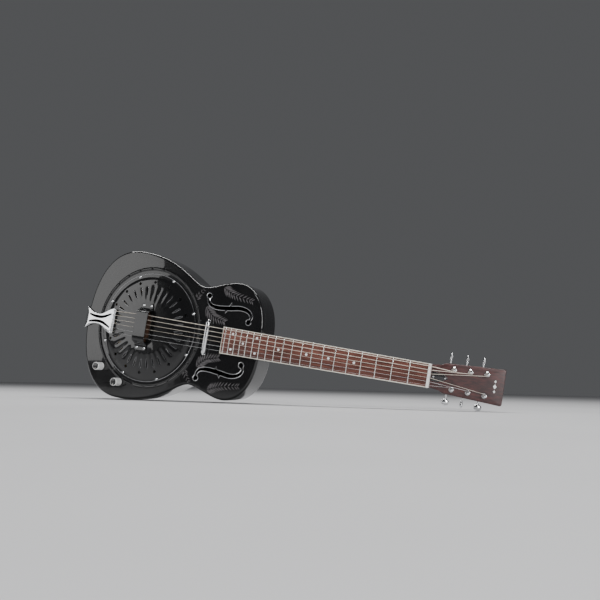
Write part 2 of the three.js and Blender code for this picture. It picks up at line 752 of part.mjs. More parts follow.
// A hollow domed knob with a ribbed grip.
function knob() {
  const { radius, height, lift } = KNOB;
  return turned([
    [4.6, lift], [radius, lift], [radius, lift + height - 5], [radius - 1.6, lift + height - 1.6],
    [radius - 4.6, lift + height], [0, lift + height + 0.4], [0, 9 + GAP], [4.6, 9 + GAP],
    [4.6, lift],
  ], 18);
}

function addControls() {
  for (const [name, [x, y]] of Object.entries(KNOBS)) {
    piece(`${name}_pot`, pot(), STEEL).position.set(x, y, 0);
    piece(`${name}_shaft`, knobShaft(), BRASS).position.set(x, y, 0);
    piece(`${name}_knob`, knob(), CHROME).position.set(x, y, 0);
  }
}

// The output jack's place on the treble side: a point of the outline and the way out of the body.
function jackPlace() {
  const points = mirrored(halfOutline());
  const i = 5;
  const along = points[i + 1].clone().sub(points[i - 1]).normalize();
  return { x: points[i].x, y: points[i].y, angle: Math.atan2(-along.x, along.y) };
}

function atJack(geometry) {
  const { x, y, angle } = jackPlace();
  return geometry.rotateY(Math.PI / 2).rotateZ(angle).translate(x, y, -BODY_DEPTH / 2);
}

function jackHole() {
  return atJack(disc(JACK.radius + GAP, -8, 8, 12));
}

function jackPlate() {
  const plate = turned([[JACK.radius + GAP, 0.9], [11, 0.9], [10.4, 2.3], [JACK.radius + GAP, 2.3]], 20);
  return atJack(plate);
}

function outputJack() {
  const { radius, bore, length } = JACK;
  const barrel = turned([
    [0, -length], [radius, -length], [radius, 3.4], [bore, 3.4], [bore, -length + 2], [0, -length + 2],
  ], 12);
  return atJack(barrel);
}

// ---- Assembly -----------------------------------------------------------------------------------

function addBody() {
  const outline = bodyOutline();
  piece("body_top", bodyTop(outline), LACQUER);
  piece("body_back", bodyBack(outline), LACQUER);
  piece("body_side_bass", bodySide(1), LACQUER);
  piece("body_side_treble", bodySide(-1), LACQUER);
}

function addResonator() {
  piece("sound_well", soundWell(), BRASS);
  piece("resonator_cone", resonatorCone(), SPUN);
  piece("biscuit", biscuit(), MAPLE);
  piece("saddle", saddle(), MAPLE);
  piece("cover_plate", coverPlate(), LACQUER);
  for (let i = 0; i < COVER_SCREWS; i++) {
    const [x, y] = polar(COVER_SCREW_CIRCLE, screwAngle(i));
    piece(`cover_screw_${i + 1}`, coverScrew(), CHROME).position.set(x, y, 1.7 + GAP);
  }
  piece("hand_rest", handRest(), LACQUER);
  handRestScrews().forEach(([x, y], i) => {
    const screw = piece(`hand_rest_screw_${i + 1}`, handRestScrew(), CHROME);
    screw.position.set(x, y, REST.foot + REST.sheet + GAP);
  });
}

function addNeck() {
  piece("neck", neck(), MAHOGANY);
  piece("neck_stick", block(-171, NECK_END_X, -STICK.half, STICK.half, STICK.bottom, STICK.top), MAPLE);
  piece("truss_rod", trussRod(), STEEL);
  piece("fretboard", fretboard(), ROSEWOOD);
  piece("fretboard_binding", fretboardBinding(), IVORY);
  piece("nut", nut(), IVORY);
}

function addFittings() {
  piece("tailpiece", tailpiece(), CHROME);
  piece("strap_button", strapButton(), CHROME);
  piece("pickup", pickup(), CHROME);
  piece("jack_plate", jackPlate(), CHROME);
  piece("output_jack", outputJack(), STEEL);
  STRING_RADII.forEach((radius, i) => {
    piece(`string_${6 - i}`, instrumentString(i), radius > 0.25 ? BRONZE : STEEL);
  });
}

// The tilt at which the lower bout and the last treble button both touch the ground.
function restingTilt() {
  const along = POSTS.along[2] + WORM.offset;
  const tip = point(along, -BUTTON.out - BUTTON.along, wormLevel);
  tip.applyAxisAngle(point(0, 1, 0), radians(HEAD.tilt)).add(point(nutX + NUT_THICKNESS, 0, neckTop));
  const slopes = mirrored(halfOutline()).map((p) => (tip.y - p.y) / (tip.x - p.x));
  return Math.atan(Math.max(...slopes));
}

// Stands the instrument on its treble side with the origin under the middle of its box.
function stand() {
  guitar.rotation.set(Math.PI / 2, restingTilt(), 0, "YXZ");
  const root = new THREE.Group();
  root.add(guitar);
  root.updateMatrixWorld(true);
  const box = new THREE.Box3().setFromObject(root, true);
  const middle = box.getCenter(new THREE.Vector3());
  guitar.position.set(-middle.x, -middle.y, -box.min.z);
  return root;
}

addBody();
addResonator();
addNeck();
addTuners();
addFittings();
addControls();

export default stand();
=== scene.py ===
import json
import math

import bmesh
import bpy
from mathutils import Matrix, Vector, geometry


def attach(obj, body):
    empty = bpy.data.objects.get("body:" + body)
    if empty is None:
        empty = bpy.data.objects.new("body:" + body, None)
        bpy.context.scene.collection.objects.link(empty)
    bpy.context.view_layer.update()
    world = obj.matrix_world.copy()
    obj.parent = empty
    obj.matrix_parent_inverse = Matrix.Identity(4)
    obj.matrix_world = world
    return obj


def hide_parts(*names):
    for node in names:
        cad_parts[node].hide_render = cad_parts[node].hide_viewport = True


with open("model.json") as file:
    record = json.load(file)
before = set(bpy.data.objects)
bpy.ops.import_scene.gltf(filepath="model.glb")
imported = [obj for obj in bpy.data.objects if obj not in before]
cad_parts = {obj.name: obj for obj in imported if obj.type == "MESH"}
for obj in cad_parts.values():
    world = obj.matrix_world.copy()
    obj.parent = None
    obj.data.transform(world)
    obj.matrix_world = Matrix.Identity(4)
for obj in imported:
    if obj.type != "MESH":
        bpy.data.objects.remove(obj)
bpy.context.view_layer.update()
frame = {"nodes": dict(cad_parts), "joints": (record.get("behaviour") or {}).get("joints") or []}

# ---- Sizes shared with the solids (mm) ----------------------------------------------------------

MM = 0.001
SCALE_LENGTH = 645
SHEET = 1.2
DEPTH = 66
LIP = 9
LIP_GAP = 0.08
SKIN_INSET = 0.5
EDGE = 5
TAIL_X = -174
NECK_END_X = 284
COVER_RADIUS = 123.4
SCREW_CIRCLE = 119.8
KNOBS = {"volume": (-109, -107), "tone": (-53, -134)}
BOARD = {"end": 198, "top": 11, "bottom": 5, "crown": 0.9, "nut_half": 21, "end_half": 27}
BINDING = 1.6
NECK_TOP = 4.7
HEAD_TILT = 14
HEAD_LENGTH = 136
HEAD_THICKNESS = 15
POST_ALONG = (41.5, 72, 102.5)
POST_OUT = (18.7, 19.5, 20.3)
POST_RADIUS = 3
WORM_OFFSET = -7.1
PLATE_BACK = -HEAD_THICKNESS - 1.5
GEAR_TOP = PLATE_BACK - 0.3
WORM_LEVEL = GEAR_TOP - 2.3
STRING_RADII = (0.68, 0.53, 0.41, 0.3, 0.22, 0.17)
ANCHOR = (-88, 10.2)
SADDLE_TOP = 17.4
SADDLE_SPACING = 10.5
NUT_TOP = 12.9
NUT_SPACING = 7.3
REST_SCREWS = ((-15, 48), (5, 48), (-15, -48), (5, -48))

# ---- Frames -------------------------------------------------------------------------------------

joints = {joint["name"]: joint for joint in frame["joints"]}
across = Vector(joints["button_turn_bass_1"]["axis"])
outward = Vector(joints["volume_turn"]["axis"])
turn = Matrix((across.cross(outward), across, outward)).transposed()
knob_spot = turn @ Vector((*KNOBS["volume"], 0)) * MM
saddle_spot = Vector(joints["volume_turn"]["pos_m"]) - knob_spot
TILT = math.asin(-turn[2][0])
GUITAR = Matrix.Translation(saddle_spot) @ turn.to_4x4() @ Matrix.Scale(MM, 4)
HEAD = GUITAR @ Matrix.Translation((SCALE_LENGTH + 5, 0, NECK_TOP))
HEAD = HEAD @ Matrix.Rotation(math.radians(HEAD_TILT), 4, "Y")


def moved(x, y, z=0):
    return Matrix.Translation((x, y, z))


def turned(axis, degrees):
    return Matrix.Rotation(math.radians(degrees), 4, axis)


# ---- Materials ----------------------------------------------------------------------------------


class Look:
    """A procedural material: colour, roughness and bump each follow their own pattern."""

    def __init__(self, name, metallic=0.0, coat=0.0, coat_roughness=0.03, ior=1.5):
        self.material = bpy.data.materials.new(name)
        self.material.use_nodes = True
        self.tree = self.material.node_tree
        self.shader = self.tree.nodes["Principled BSDF"]
        self.shader.inputs["Metallic"].default_value = metallic
        self.shader.inputs["Coat Weight"].default_value = coat
        self.shader.inputs["Coat Roughness"].default_value = coat_roughness
        self.shader.inputs["IOR"].default_value = ior
        coordinates = self.add("ShaderNodeTexCoord").outputs["Object"]
        placed = self.add("ShaderNodeMapping", Vector=coordinates)
        placed.inputs["Rotation"].default_value = (0, -TILT, 0)
        self.coordinates = placed.outputs["Vector"]

    def add(self, kind, settings=None, **inputs):
        node = self.tree.nodes.new(kind)
        for key, value in (settings or {}).items():
            setattr(node, key, value)
        for key, value in inputs.items():
            socket = node.inputs[key]
            if isinstance(value, bpy.types.NodeSocket):
                self.tree.links.new(value, socket)
            else:
                socket.default_value = value
        return node

    def stretched(self, stretch):
        node = self.add("ShaderNodeMapping", Vector=self.coordinates)
        node.inputs["Scale"].default_value = stretch
        return node.outputs["Vector"]

    def noise(self, scale, detail=4.0, stretch=(1, 1, 1)):
        vector = self.stretched(stretch)
        return self.add("ShaderNodeTexNoise", Vector=vector, Scale=scale, Detail=detail).outputs["Fac"]

    def ramp(self, factor, stops):
        node = self.add("ShaderNodeValToRGB", Fac=factor)
        elements = node.color_ramp.elements
        for position, _ in stops[2:]:
            elements.new(position)
        for element, (position, color) in zip(elements, stops):
            element.position = position
            element.color = (*color, 1)
        return node.outputs["Color"]

    def spread(self, factor, low, high):
        node = self.add("ShaderNodeMapRange", Value=factor)
        node.inputs["From Min"].default_value = 0.3
        node.inputs["From Max"].default_value = 0.7
        node.inputs["To Min"].default_value = low
        node.inputs["To Max"].default_value = high
        return node.outputs["Result"]

    def set(self, socket, value):
        self.tree.links.new(value, self.shader.inputs[socket])
        return self

    def bump(self, *layers):
        normal = None
        for height, strength, distance in layers:
            node = self.add("ShaderNodeBump", Height=height, Strength=strength, Distance=distance * MM)
            if normal is not None:
                self.tree.links.new(normal, node.inputs["Normal"])
            normal = node.outputs["Normal"]
        self.tree.links.new(normal, self.shader.inputs["Normal"])
        return self


def mottled(name, dark, light, roughness, metallic=0.0, scale=60.0, grit=900.0, relief=0.05, **more):
    """A plain material with cloudy colour, smudged gloss and a fine surface."""
    look = Look(name, metallic, **more)
    look.set("Base Color", look.ramp(look.noise(scale), [(0.3, dark), (0.7, light)]))
    look.set("Roughness", look.spread(look.noise(scale * 0.6, 6.0), *roughness))
    look.bump((look.noise(grit), relief, 0.2))
    return look.material


def lacquer_look():
    look = Look("black_lacquer", coat=1.0, coat_roughness=0.025)
    look.shader.inputs["Specular IOR Level"].default_value = 0.15
    dark, light = (0.0035, 0.0035, 0.004), (0.008, 0.008, 0.0085)
    look.set("Base Color", look.ramp(look.noise(9), [(0.3, dark), (0.7, light)]))
    look.set("Roughness", look.spread(look.noise(22, 8.0), 0.1, 0.24))
    look.bump((look.noise(14, 1.0), 0.06, 1.2), (look.noise(420, 2.0), 0.03, 0.1))
    return look.material


def chrome_look(name="chrome", tint=(0.86, 0.87, 0.88), roughness=(0.04, 0.13)):
    look = Look(name, metallic=1.0)
    dull = tuple(0.82 * c for c in tint)
    look.set("Base Color", look.ramp(look.noise(90, 6.0), [(0.35, dull), (0.65, tint)]))
    look.set("Roughness", look.spread(look.noise(140, 8.0), *roughness))
    scratches = look.noise(500, 2.0, (0.06, 1, 1))
    look.bump((scratches, 0.03, 0.1), (look.noise(60, 1.0), 0.06, 0.4))
    return look.material


def wood_look(name, dark, middle, light, grain=(6, 90, 90), roughness=(0.4, 0.6), pores=0.35, coat=0.0):
    look = Look(name, coat=coat, coat_roughness=0.06)
    warp = look.noise(14, 3.0, (0.25, 1, 1))
    fibre = look.noise(3.2, 8.0, grain)
    mixed = look.add("ShaderNodeMath", {"operation": "ADD"})
    look.tree.links.new(warp, mixed.inputs[0])
    look.tree.links.new(fibre, mixed.inputs[1])
    half = look.add("ShaderNodeMath", {"operation": "MULTIPLY"})
    look.tree.links.new(mixed.outputs[0], half.inputs[0])
    half.inputs[1].default_value = 0.5
    look.set("Base Color", look.ramp(half.outputs[0], [(0.38, dark), (0.5, middle), (0.62, light)]))
    look.set("Roughness", look.spread(fibre, *roughness))
    pore = look.noise(160, 2.0, (0.08, 1, 1))
    look.bump((pore, pores, 0.15), (fibre, 0.1, 0.2))
    return look.material


def spun_look(name, center, tint, roughness, rings=2600.0):
    """Metal turned on a lathe: fine circles about the centre of the top."""
    look = Look(name, metallic=1.0)
    shifted = look.add("ShaderNodeVectorMath", {"operation": "SUBTRACT"})
    coordinates = look.add("ShaderNodeTexCoord").outputs["Object"]
    look.tree.links.new(coordinates, shifted.inputs[0])
    shifted.inputs[1].default_value = center
    flat = look.add("ShaderNodeVectorMath", {"operation": "MULTIPLY"})
    look.tree.links.new(shifted.outputs[0], flat.inputs[0])
    flat.inputs[1].default_value = (1, 0, 1)
    radius = look.add("ShaderNodeVectorMath", {"operation": "LENGTH"})
    look.tree.links.new(flat.outputs[0], radius.inputs[0])
    line = look.add("ShaderNodeCombineXYZ", X=radius.outputs["Value"])
    circles = look.add("ShaderNodeTexNoise", Vector=line.outputs[0], Scale=rings, Detail=3.0).outputs["Fac"]
    dull = tuple(0.7 * c for c in tint)
    look.set("Base Color", look.ramp(circles, [(0.3, dull), (0.7, tint)]))
    look.set("Roughness", look.spread(look.noise(70, 6.0), *roughness))
    look.bump((circles, 0.25, 0.1))
    return look.material


def wound_look():
    """Bronze wire wound over a core: fine ridges along the string."""
    look = Look("bronze_winding", metallic=0.5)
    split = look.add("ShaderNodeSeparateXYZ", Vector=look.coordinates)
    ridge = look.add("ShaderNodeMath", {"operation": "SINE"})
    pitch = look.add("ShaderNodeMath", {"operation": "MULTIPLY"})
    look.tree.links.new(split.outputs["X"], pitch.inputs[0])
    pitch.inputs[1].default_value = 2 * math.pi / (0.45 * MM)
    look.tree.links.new(pitch.outputs[0], ridge.inputs[0])
    dark, light = (0.8, 0.71, 0.6), (0.96, 0.9, 0.8)
    look.set("Base Color", look.ramp(look.noise(120, 5.0), [(0.3, dark), (0.7, light)]))
    look.set("Roughness", look.spread(look.noise(200), 0.28, 0.42))
    look.bump((ridge.outputs[0], 0.4, 0.08))
    return look.material


LACQUER = lacquer_look()
CHROME = chrome_look()
SATIN = chrome_look("worn_nickel", (0.8, 0.79, 0.77), (0.16, 0.34))
FRET_WIRE = chrome_look("fret_wire", (0.82, 0.8, 0.76), (0.12, 0.3))
ROSEWOOD = wood_look("rosewood", (0.06, 0.018, 0.012), (0.15, 0.05, 0.035), (0.27, 0.105, 0.075))
MAHOGANY = wood_look("mahogany", (0.024, 0.004, 0.004), (0.06, 0.01, 0.009), (0.11, 0.022, 0.018),
                     roughness=(0.3, 0.42), pores=0.06, coat=0.35)
MAPLE = wood_look("maple", (0.4, 0.24, 0.12), (0.56, 0.37, 0.2), (0.68, 0.48, 0.29), pores=0.12)
IVORY = mottled("ivory_plastic", (0.72, 0.68, 0.58), (0.84, 0.81, 0.72), (0.25, 0.4), scale=45)
BONE = mottled("bone", (0.94, 0.93, 0.9), (0.99, 0.985, 0.97), (0.25, 0.38), scale=120)
PEARL = mottled("pearl", (0.88, 0.89, 0.9), (0.98, 0.98, 0.97), (0.12, 0.22), scale=420, coat=0.6)
BLACK = mottled("black_plastic", (0.007, 0.007, 0.008), (0.014, 0.014, 0.015), (0.16, 0.3), coat=0.5)
BRASS = mottled("brass", (0.46, 0.3, 0.12), (0.66, 0.47, 0.2), (0.25, 0.42), metallic=1.0)
STEEL = mottled("bright_steel", (0.5, 0.51, 0.53), (0.72, 0.73, 0.75), (0.18, 0.34), metallic=1.0)
PLAIN_STRING = mottled("plain_string", (0.86, 0.86, 0.86), (0.98, 0.98, 0.97), (0.2, 0.34), metallic=0.4)
WOUND = wound_look()
FROST = mottled("frosted_lacquer", (0.05, 0.047, 0.05), (0.12, 0.112, 0.116), (0.4, 0.6),
                scale=160, relief=0.4)
# The cone's aluminium is painted dark grey as painted shade, because it sits in shadow under the cover plate.
SHADED_SPUN = spun_look("spun_aluminium_painted_shade", saddle_spot, (0.3, 0.3, 0.31), (0.3, 0.45))
# Maple painted near black for the biscuit and saddle base: painted shade, as they sit in shadow under the
# hand rest and cover plate.
SHADED_MAPLE = wood_look("maple_painted_shade", (0.02, 0.009, 0.005), (0.04, 0.018, 0.01), (0.07, 0.034, 0.02),
                    pores=0.12)
KNURLED = mottled("knurled_nickel", (0.88, 0.88, 0.87), (0.98, 0.98, 0.97), (0.34, 0.5),
                  metallic=0.2, scale=140)
# A matt near-black sheet that stands for the shadow seen through the tailpiece slots: painted shade.
SLOT_SHADE = mottled("painted_slot_shade", (0.0015, 0.0015, 0.0015), (0.003, 0.003, 0.003), (0.85, 0.95), ior=1.1)
# A grey mirror metal, far more reflective than the black lacquer, for the lacquered rims: a brighter copy of
# the lacquer that paints highlight lines along them.
HIGHLIGHT_EDGE = chrome_look("painted_highlight_edge", (0.55, 0.55, 0.56), (0.08, 0.2))

# ---- Mesh tools ---------------------------------------------------------------------------------


def ring_points(x, y, radius, count=32):
    return [
        (x + radius * math.cos(2 * math.pi * i / count), y + radius * math.sin(2 * math.pi * i / count))
        for i in range(count)
    ]


def bezier(p0, p1, p2, p3, steps):
    points = []
    for i in range(steps):
        t = i / steps
        s = 1 - t
        weights = (s**3, 3 * s * s * t, 3 * s * t * t, t**3)
        points.append(tuple(sum(w * p[k] for w, p in zip(weights, (p0, p1, p2, p3))) for k in (0, 1)))
    return points


def spline(points, steps):
    """Points and unit tangents along a smooth curve through the given points."""
    last = len(points) - 1

    def at(t):
        place = t * last
        i = min(int(place), last - 1)
        w = place - i
        a, b, c, d = (points[min(max(i + k, 0), last)] for k in (-1, 0, 1, 2))
        out = []
        for k in (0, 1):
            v0, v1 = (c[k] - a[k]) / 2, (d[k] - b[k]) / 2
            out.append((2 * b[k] - 2 * c[k] + v0 + v1) * w**3
                       + (-3 * b[k] + 3 * c[k] - 2 * v0 - v1) * w * w + v0 * w + b[k])
        return Vector(out)

    result = []
    for i in range(steps + 1):
        t = i / steps
        tangent = (at(min(1, t + 1e-3)) - at(max(0, t - 1e-3))).normalized()
        result.append((at(t), tangent))
    return result


def ribbon(points, steps, half_width):
    """The outline of a band along a spline; half_width takes the place along it, from 0 to 1."""
    left, right = [], []
    for i, (middle, along) in enumerate(spline(points, steps)):
        half = half_width(i / steps)
        left.append((middle.x - along.y * half, middle.y + along.x * half))
        right.append((middle.x + along.y * half, middle.y - along.x * half))
    return left + right[::-1]


def mirror(points):
    return [(x, -y) for x, y in points]


def signed_area(points):
    pairs = zip(points, points[1:] + points[:1])
    return sum(a[0] * b[1] - b[0] * a[1] for a, b in pairs) / 2


def inset(points, distance):
    """The closed outline moved inwards; it runs anticlockwise when its signed area is positive."""
    sign = 1 if signed_area(points) > 0 else -1
    count = len(points)
    moved_points = []
    for i in range(count):
        before, after = Vector(points[i - 1]), Vector(points[(i + 1) % count])
        along = (after - before).normalized()
        x, y = points[i]
        moved_points.append((x - along.y * distance * sign, y + along.x * distance * sign))
    return moved_points


def region(outer, holes=(), seeds=()):
    """Triangles that fill outer but none of the holes, which may overlap each other."""
    points, faces = [], []
    for loop in (outer, *holes):
        ordered = list(loop) if signed_area(list(loop)) > 0 else list(loop)[::-1]
        faces.append(list(range(len(points), len(points) + len(ordered))))
        points.extend(ordered)
    points.extend(seeds)
    filled = geometry.delaunay_2d_cdt([Vector(p) for p in points], [], faces, 1, 1e-5, True)
    verts, triangles, origins = filled[0], filled[2], filled[5]
    kept = [t for t, o in zip(triangles, origins) if 0 in o and not any(k > 0 for k in o)]
    return [tuple(v) for v in verts], kept


def open_edges(triangles):
    count = {}
    for t in triangles:
        for a, b in zip(t, t[1:] + t[:1]):
            key = (min(a, b), max(a, b))
            count[key] = None if key in count else (a, b)
    return [edge for edge in count.values() if edge]


def new():
    return bmesh.new()


def quads(bm, rows, closed=True):
    """Faces between rows of vertices of the same length."""
    for low, high in zip(rows, rows[1:]):
        count = len(low)
        for i in range(count if closed else count - 1):
            j = (i + 1) % count
            bm.faces.new((low[i], low[j], high[j], high[i]))


def plate(bm, outline, holes=(), top=0.0, bottom=-1.0, radius=0.4, steps=3, place=Matrix()):
    """A flat plate whose outer edges are rounded."""
    face = inset(outline, radius) if radius else list(outline)
    verts, triangles = region(face, holes)
    sides = {}
    for z, flip in ((top, False), (bottom, True)):
        made = [bm.verts.new(place @ Vector((*v, z))) for v in verts]
        sides[z] = made
        for t in triangles:
            bm.faces.new([made[i] for i in (t[::-1] if flip else t)])
    rim = {(round(x, 3), round(y, 3)) for x, y in face}

    def on_rim(i):
        return (round(verts[i][0], 3), round(verts[i][1], 3)) in rim

    for a, b in open_edges([tuple(t) for t in triangles]):
        if radius and on_rim(a) and on_rim(b):
            continue
        bm.faces.new((sides[top][b], sides[top][a], sides[bottom][a], sides[bottom][b]))
    if radius:
        rows = []
        quarter = [math.pi / 2 * i / steps for i in range(steps + 1)]
        for angle in quarter:
            rows.append((radius - radius * math.sin(angle), top - radius + radius * math.cos(angle)))
        for angle in quarter[::-1]:
            rows.append((radius - radius * math.sin(angle), bottom + radius - radius * math.cos(angle)))
        loops = [
            [bm.verts.new(place @ Vector((x, y, z))) for x, y in inset(outline, distance)]
            for distance, z in rows
        ]
        quads(bm, loops)
    return bm


def pressed(bm, outer, holes, seeds, height, thickness, rim=True):
    """Sheet metal whose upper face follows a height; returns the bmesh."""
    verts, triangles = region(outer, holes, seeds)
    upper = [bm.verts.new((x, y, height(x, y))) for x, y in verts]
    lower = [bm.verts.new((x, y, height(x, y) - thickness)) for x, y in verts]
    for t in triangles:
        bm.faces.new([upper[i] for i in t])
        bm.faces.new([lower[i] for i in t[::-1]])
    outside = {(round(x, 3), round(y, 3)) for x, y in outer}
    for a, b in open_edges([tuple(t) for t in triangles]):
        on_rim = all((round(verts[i][0], 3), round(verts[i][1], 3)) in outside for i in (a, b))
        if rim or not on_rim:
            bm.faces.new((upper[b], upper[a], lower[a], lower[b]))
    return bm


def lathe(bm, profile, segments=48, place=Matrix(), shape=None):
    """A turned solid about z; shape changes a point's radius and height with its angle."""
    closed = profile[0][0] > 0 or profile[-1][0] > 0
    rows = []
    for k in range(segments):
        angle = 2 * math.pi * k / segments
        row = []
        for r, z in profile:
            if shape:
                r, z = shape(r, z, angle)
            row.append(bm.verts.new(place @ Vector((r * math.cos(angle), r * math.sin(angle), z))))
        rows.append(row)
    quads(bm, rows + rows[:1], closed)
    return bm


def loft(bm, rings, place=Matrix()):
    rows = [[bm.verts.new(place @ Vector(p)) for p in ring] for ring in rings]
    quads(bm, rows)
    bm.faces.new(rows[0][::-1])
    bm.faces.new(rows[-1])
    return bm


def block(bm, low, high, place=Matrix()):
    (x0, y0, z0), (x1, y1, z1) = low, high
    ring = [(x0, y0), (x1, y0), (x1, y1), (x0, y1)]
    return loft(bm, [[(x, y, z) for x, y in ring] for z in (z0, z1)], place)


def tube(bm, points, radius, sides=10, closed=False, place=Matrix()):
    """A round wire along points."""
    path = [Vector(p) for p in points]
    count = len(path)
    rows = []
    side = None
    for i, p in enumerate(path):
        if closed:
            along = path[(i + 1) % count] - path[i - 1]
        else:
            along = path[min(i + 1, count - 1)] - path[max(i - 1, 0)]
        along.normalize()
        if side is None:
            side = along.orthogonal().normalized()
        side = (side - along * side.dot(along)).normalized()
        other = along.cross(side)
        rows.append([
            bm.verts.new(place @ (p + (side * math.cos(a) + other * math.sin(a)) * radius))
            for a in (2 * math.pi * k / sides for k in range(sides))
        ])
    if closed:
        quads(bm, rows)
        last, first = rows[-1], rows[0]
        offset = min(range(sides), key=lambda s: (first[s].co - last[0].co).length)
        for k in range(sides):
            a, b = (k + offset) % sides, (k + 1 + offset) % sides
            bm.faces.new((last[k], last[(k + 1) % sides], first[b], first[a]))
    else:
        quads(bm, rows)
        bm.faces.new(rows[0][::-1])
        bm.faces.new(rows[-1])
    return bm


def piece(name, bm, material, slot, frame_matrix=GUITAR, body="body", stands_for=(), bevel=0.0, sharp=32,
          weighted=False):
    """Turns a bmesh into a named piece that rides on a body."""
    bmesh.ops.remove_doubles(bm, verts=bm.verts, dist=1e-3)
    bmesh.ops.dissolve_degenerate(bm, edges=bm.edges, dist=1e-4)
    bmesh.ops.recalc_face_normals(bm, faces=bm.faces)
    limit = math.radians(sharp)
    if bevel:
        edges = [e for e in bm.edges if len(e.link_faces) == 2 and e.calc_face_angle() > limit]
        bmesh.ops.bevel(bm, geom=edges, offset=bevel, segments=2, profile=0.6, affect="EDGES",
                        clamp_overlap=True)
        bmesh.ops.remove_doubles(bm, verts=bm.verts, dist=1e-4)
    for face in bm.faces:
        face.smooth = True
    for edge in bm.edges:
        edge.smooth = len(edge.link_faces) == 2 and edge.calc_face_angle() < limit
    bm.transform(frame_matrix)
    mesh = bpy.data.meshes.new(name)
    bm.to_mesh(mesh)
    bm.free()
    mesh.materials.append(material)
    made = bpy.data.objects.new(name, mesh)
    bpy.context.scene.collection.objects.link(made)
    if weighted:
        modifier = made.modifiers.new("normals", "WEIGHTED_NORMAL")
        modifier.keep_sharp = True
        modifier.weight = 100
    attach(made, body)
    if stands_for:
        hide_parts(*stands_for)
    return made


# ---- Camera, floor and light --------------------------------------------------------------------


def add_camera():
    """The place and angle of the photograph: low, from the headstock's side, turned to the left."""
    camera = bpy.data.objects.new("camera", bpy.data.cameras.new("camera"))
    bpy.context.scene.collection.objects.link(camera)
    yaw, pitch, roll = (math.radians(a) for a in (-22.25, 7.05, 1.32))
    forward = Vector((math.sin(yaw) * math.cos(pitch), math.cos(yaw) * math.cos(pitch), math.sin(pitch)))
    right = Vector((math.cos(yaw), -math.sin(yaw), 0))
    up = right.cross(forward)
    right, up = (
        right * math.cos(roll) + up * math.sin(roll),
        up * math.cos(roll) - right * math.sin(roll),
    )
    axes = Matrix((right, up, -forward)).transposed().to_4x4()
    camera.matrix_world = Matrix.Translation((0.6125, -1.3356, 0.0408)) @ axes
    camera.data.lens = 41.4
    camera.data.sensor_width = 36
    camera.data.clip_start = 0.01
    bpy.context.scene.camera = camera


def add_softbox(name, place, target, size, power):
    light = bpy.data.lights.new(name, "AREA")
    light.shape = "RECTANGLE"
    light.size, light.size_y = size
    light.energy = power
    softbox = bpy.data.objects.new(name, light)
    bpy.context.scene.collection.objects.link(softbox)
    softbox.location = place
    aim = Vector(target) - Vector(place)
    softbox.rotation_euler = aim.to_track_quat("-Z", "Y").to_euler()


def add_studio():
    bm = new()
    half = 6.0
    square = ((-half, -half), (half, -half), (half, half), (-half, half))
    corners = [bm.verts.new((x, y, -0.0003)) for x, y in square]
    bm.faces.new(corners)
    mesh = bpy.data.meshes.new("floor")
    bm.to_mesh(mesh)
    bm.free()
    pale = mottled("pale_floor", (0.6, 0.6, 0.61), (0.64, 0.64, 0.65), (0.55, 0.7), scale=3, relief=0.02)
    mesh.materials.append(pale)
    floor = bpy.data.objects.new("floor", mesh)
    bpy.context.scene.collection.objects.link(floor)
    world = bpy.data.worlds.new("studio")
    world.use_nodes = True
    background = world.node_tree.nodes["Background"]
    background.inputs["Color"].default_value = (0.5, 0.51, 0.53, 1)
    background.inputs["Strength"].default_value = 0.18
    bpy.context.scene.world = world
    add_softbox("softbox_left", (-2.34, -2.0, 0.88), (-2.34, 0, 0.88), (1.54, 1.45), 16)
    add_softbox("softbox_above", (-0.3, 0.25, 2.1), (-0.3, 0, 0.1), (3.0, 0.3), 62)
    add_softbox("softbox_front", (0.9, -2.2, 1.9), (0.1, 0, 0.15), (1.2, 0.5), 14)
    add_softbox("softbox_right", (1.75, -1.75, 0.7), (0, 0, 0.15), (0.45, 1.2), 34)


# ---- Body ---------------------------------------------------------------------------------------


def body_outline(steps=26):
    half = bezier((TAIL_X, 0), (TAIL_X, 96), (-137, 171), (-56, 171), steps)
    half += bezier((-56, 171), (55, 171), (97, 109.5), (127, 109.5), steps)
    half += bezier((127, 109.5), (150, 109.5), (183, 128), (211, 128), steps)
    half += bezier((211, 128), (250, 128), (283, 90), (284, 28), steps)
    half += [(284, 28), (284, 16)]
    return half + mirror(half[1:])[::-1]


def sound_hole(side):
    """The outlines that make up one f-shaped hole."""
    line = [(142, 90), (144, 78), (154, 70), (172, 68), (198, 70), (224, 73), (243, 69), (252, 59), (249, 47)]
    outlines = [
        ribbon(line, 48, lambda t: 2 + 3 * math.sin(math.pi * t)),
        ring_points(143, 91, 6.2, 28),
        ring_points(247.5, 46, 6.2, 28),
        [(186, 70), (189, 58), (195, 70)],
        [(194, 70), (200, 82), (203, 70)],
    ]
    return outlines if side > 0 else [mirror(points) for points in outlines]


def outline_of(outlines):
    """The closed edge of overlapping outlines, as one loop."""
    far = [(-400, -400), (400, -400), (400, 400), (-400, 400)]
    verts, triangles = region(far, outlines)
    edges = open_edges([tuple(t) for t in triangles])
    following = {a: b for a, b in edges if max(abs(verts[a][0]), abs(verts[a][1])) < 399}
    start = next(iter(following))
    loop = [start]
    while following[loop[-1]] != start:
        loop.append(following[loop[-1]])
    return [verts[i] for i in loop]


BEAD = {"middle": 134.2, "half": 4.4, "height": 1.4, "parts": 26}


def bead_height(x, y):
    """A pressed ring round the cover plate, nicked into short lengths."""
    distance = (math.hypot(x, y) - BEAD["middle"]) / BEAD["half"]
    if abs(distance) >= 1:
        return 0.0
    step = 2 * math.pi / BEAD["parts"]
    from_nick = (math.atan2(y, x) + step / 2) % step - step / 2
    nick = math.exp(-((from_nick * BEAD["middle"] / 1.3) ** 2))
    return BEAD["height"] * (1 - 0.75 * nick) * math.cos(distance * math.pi / 2) ** 1.4


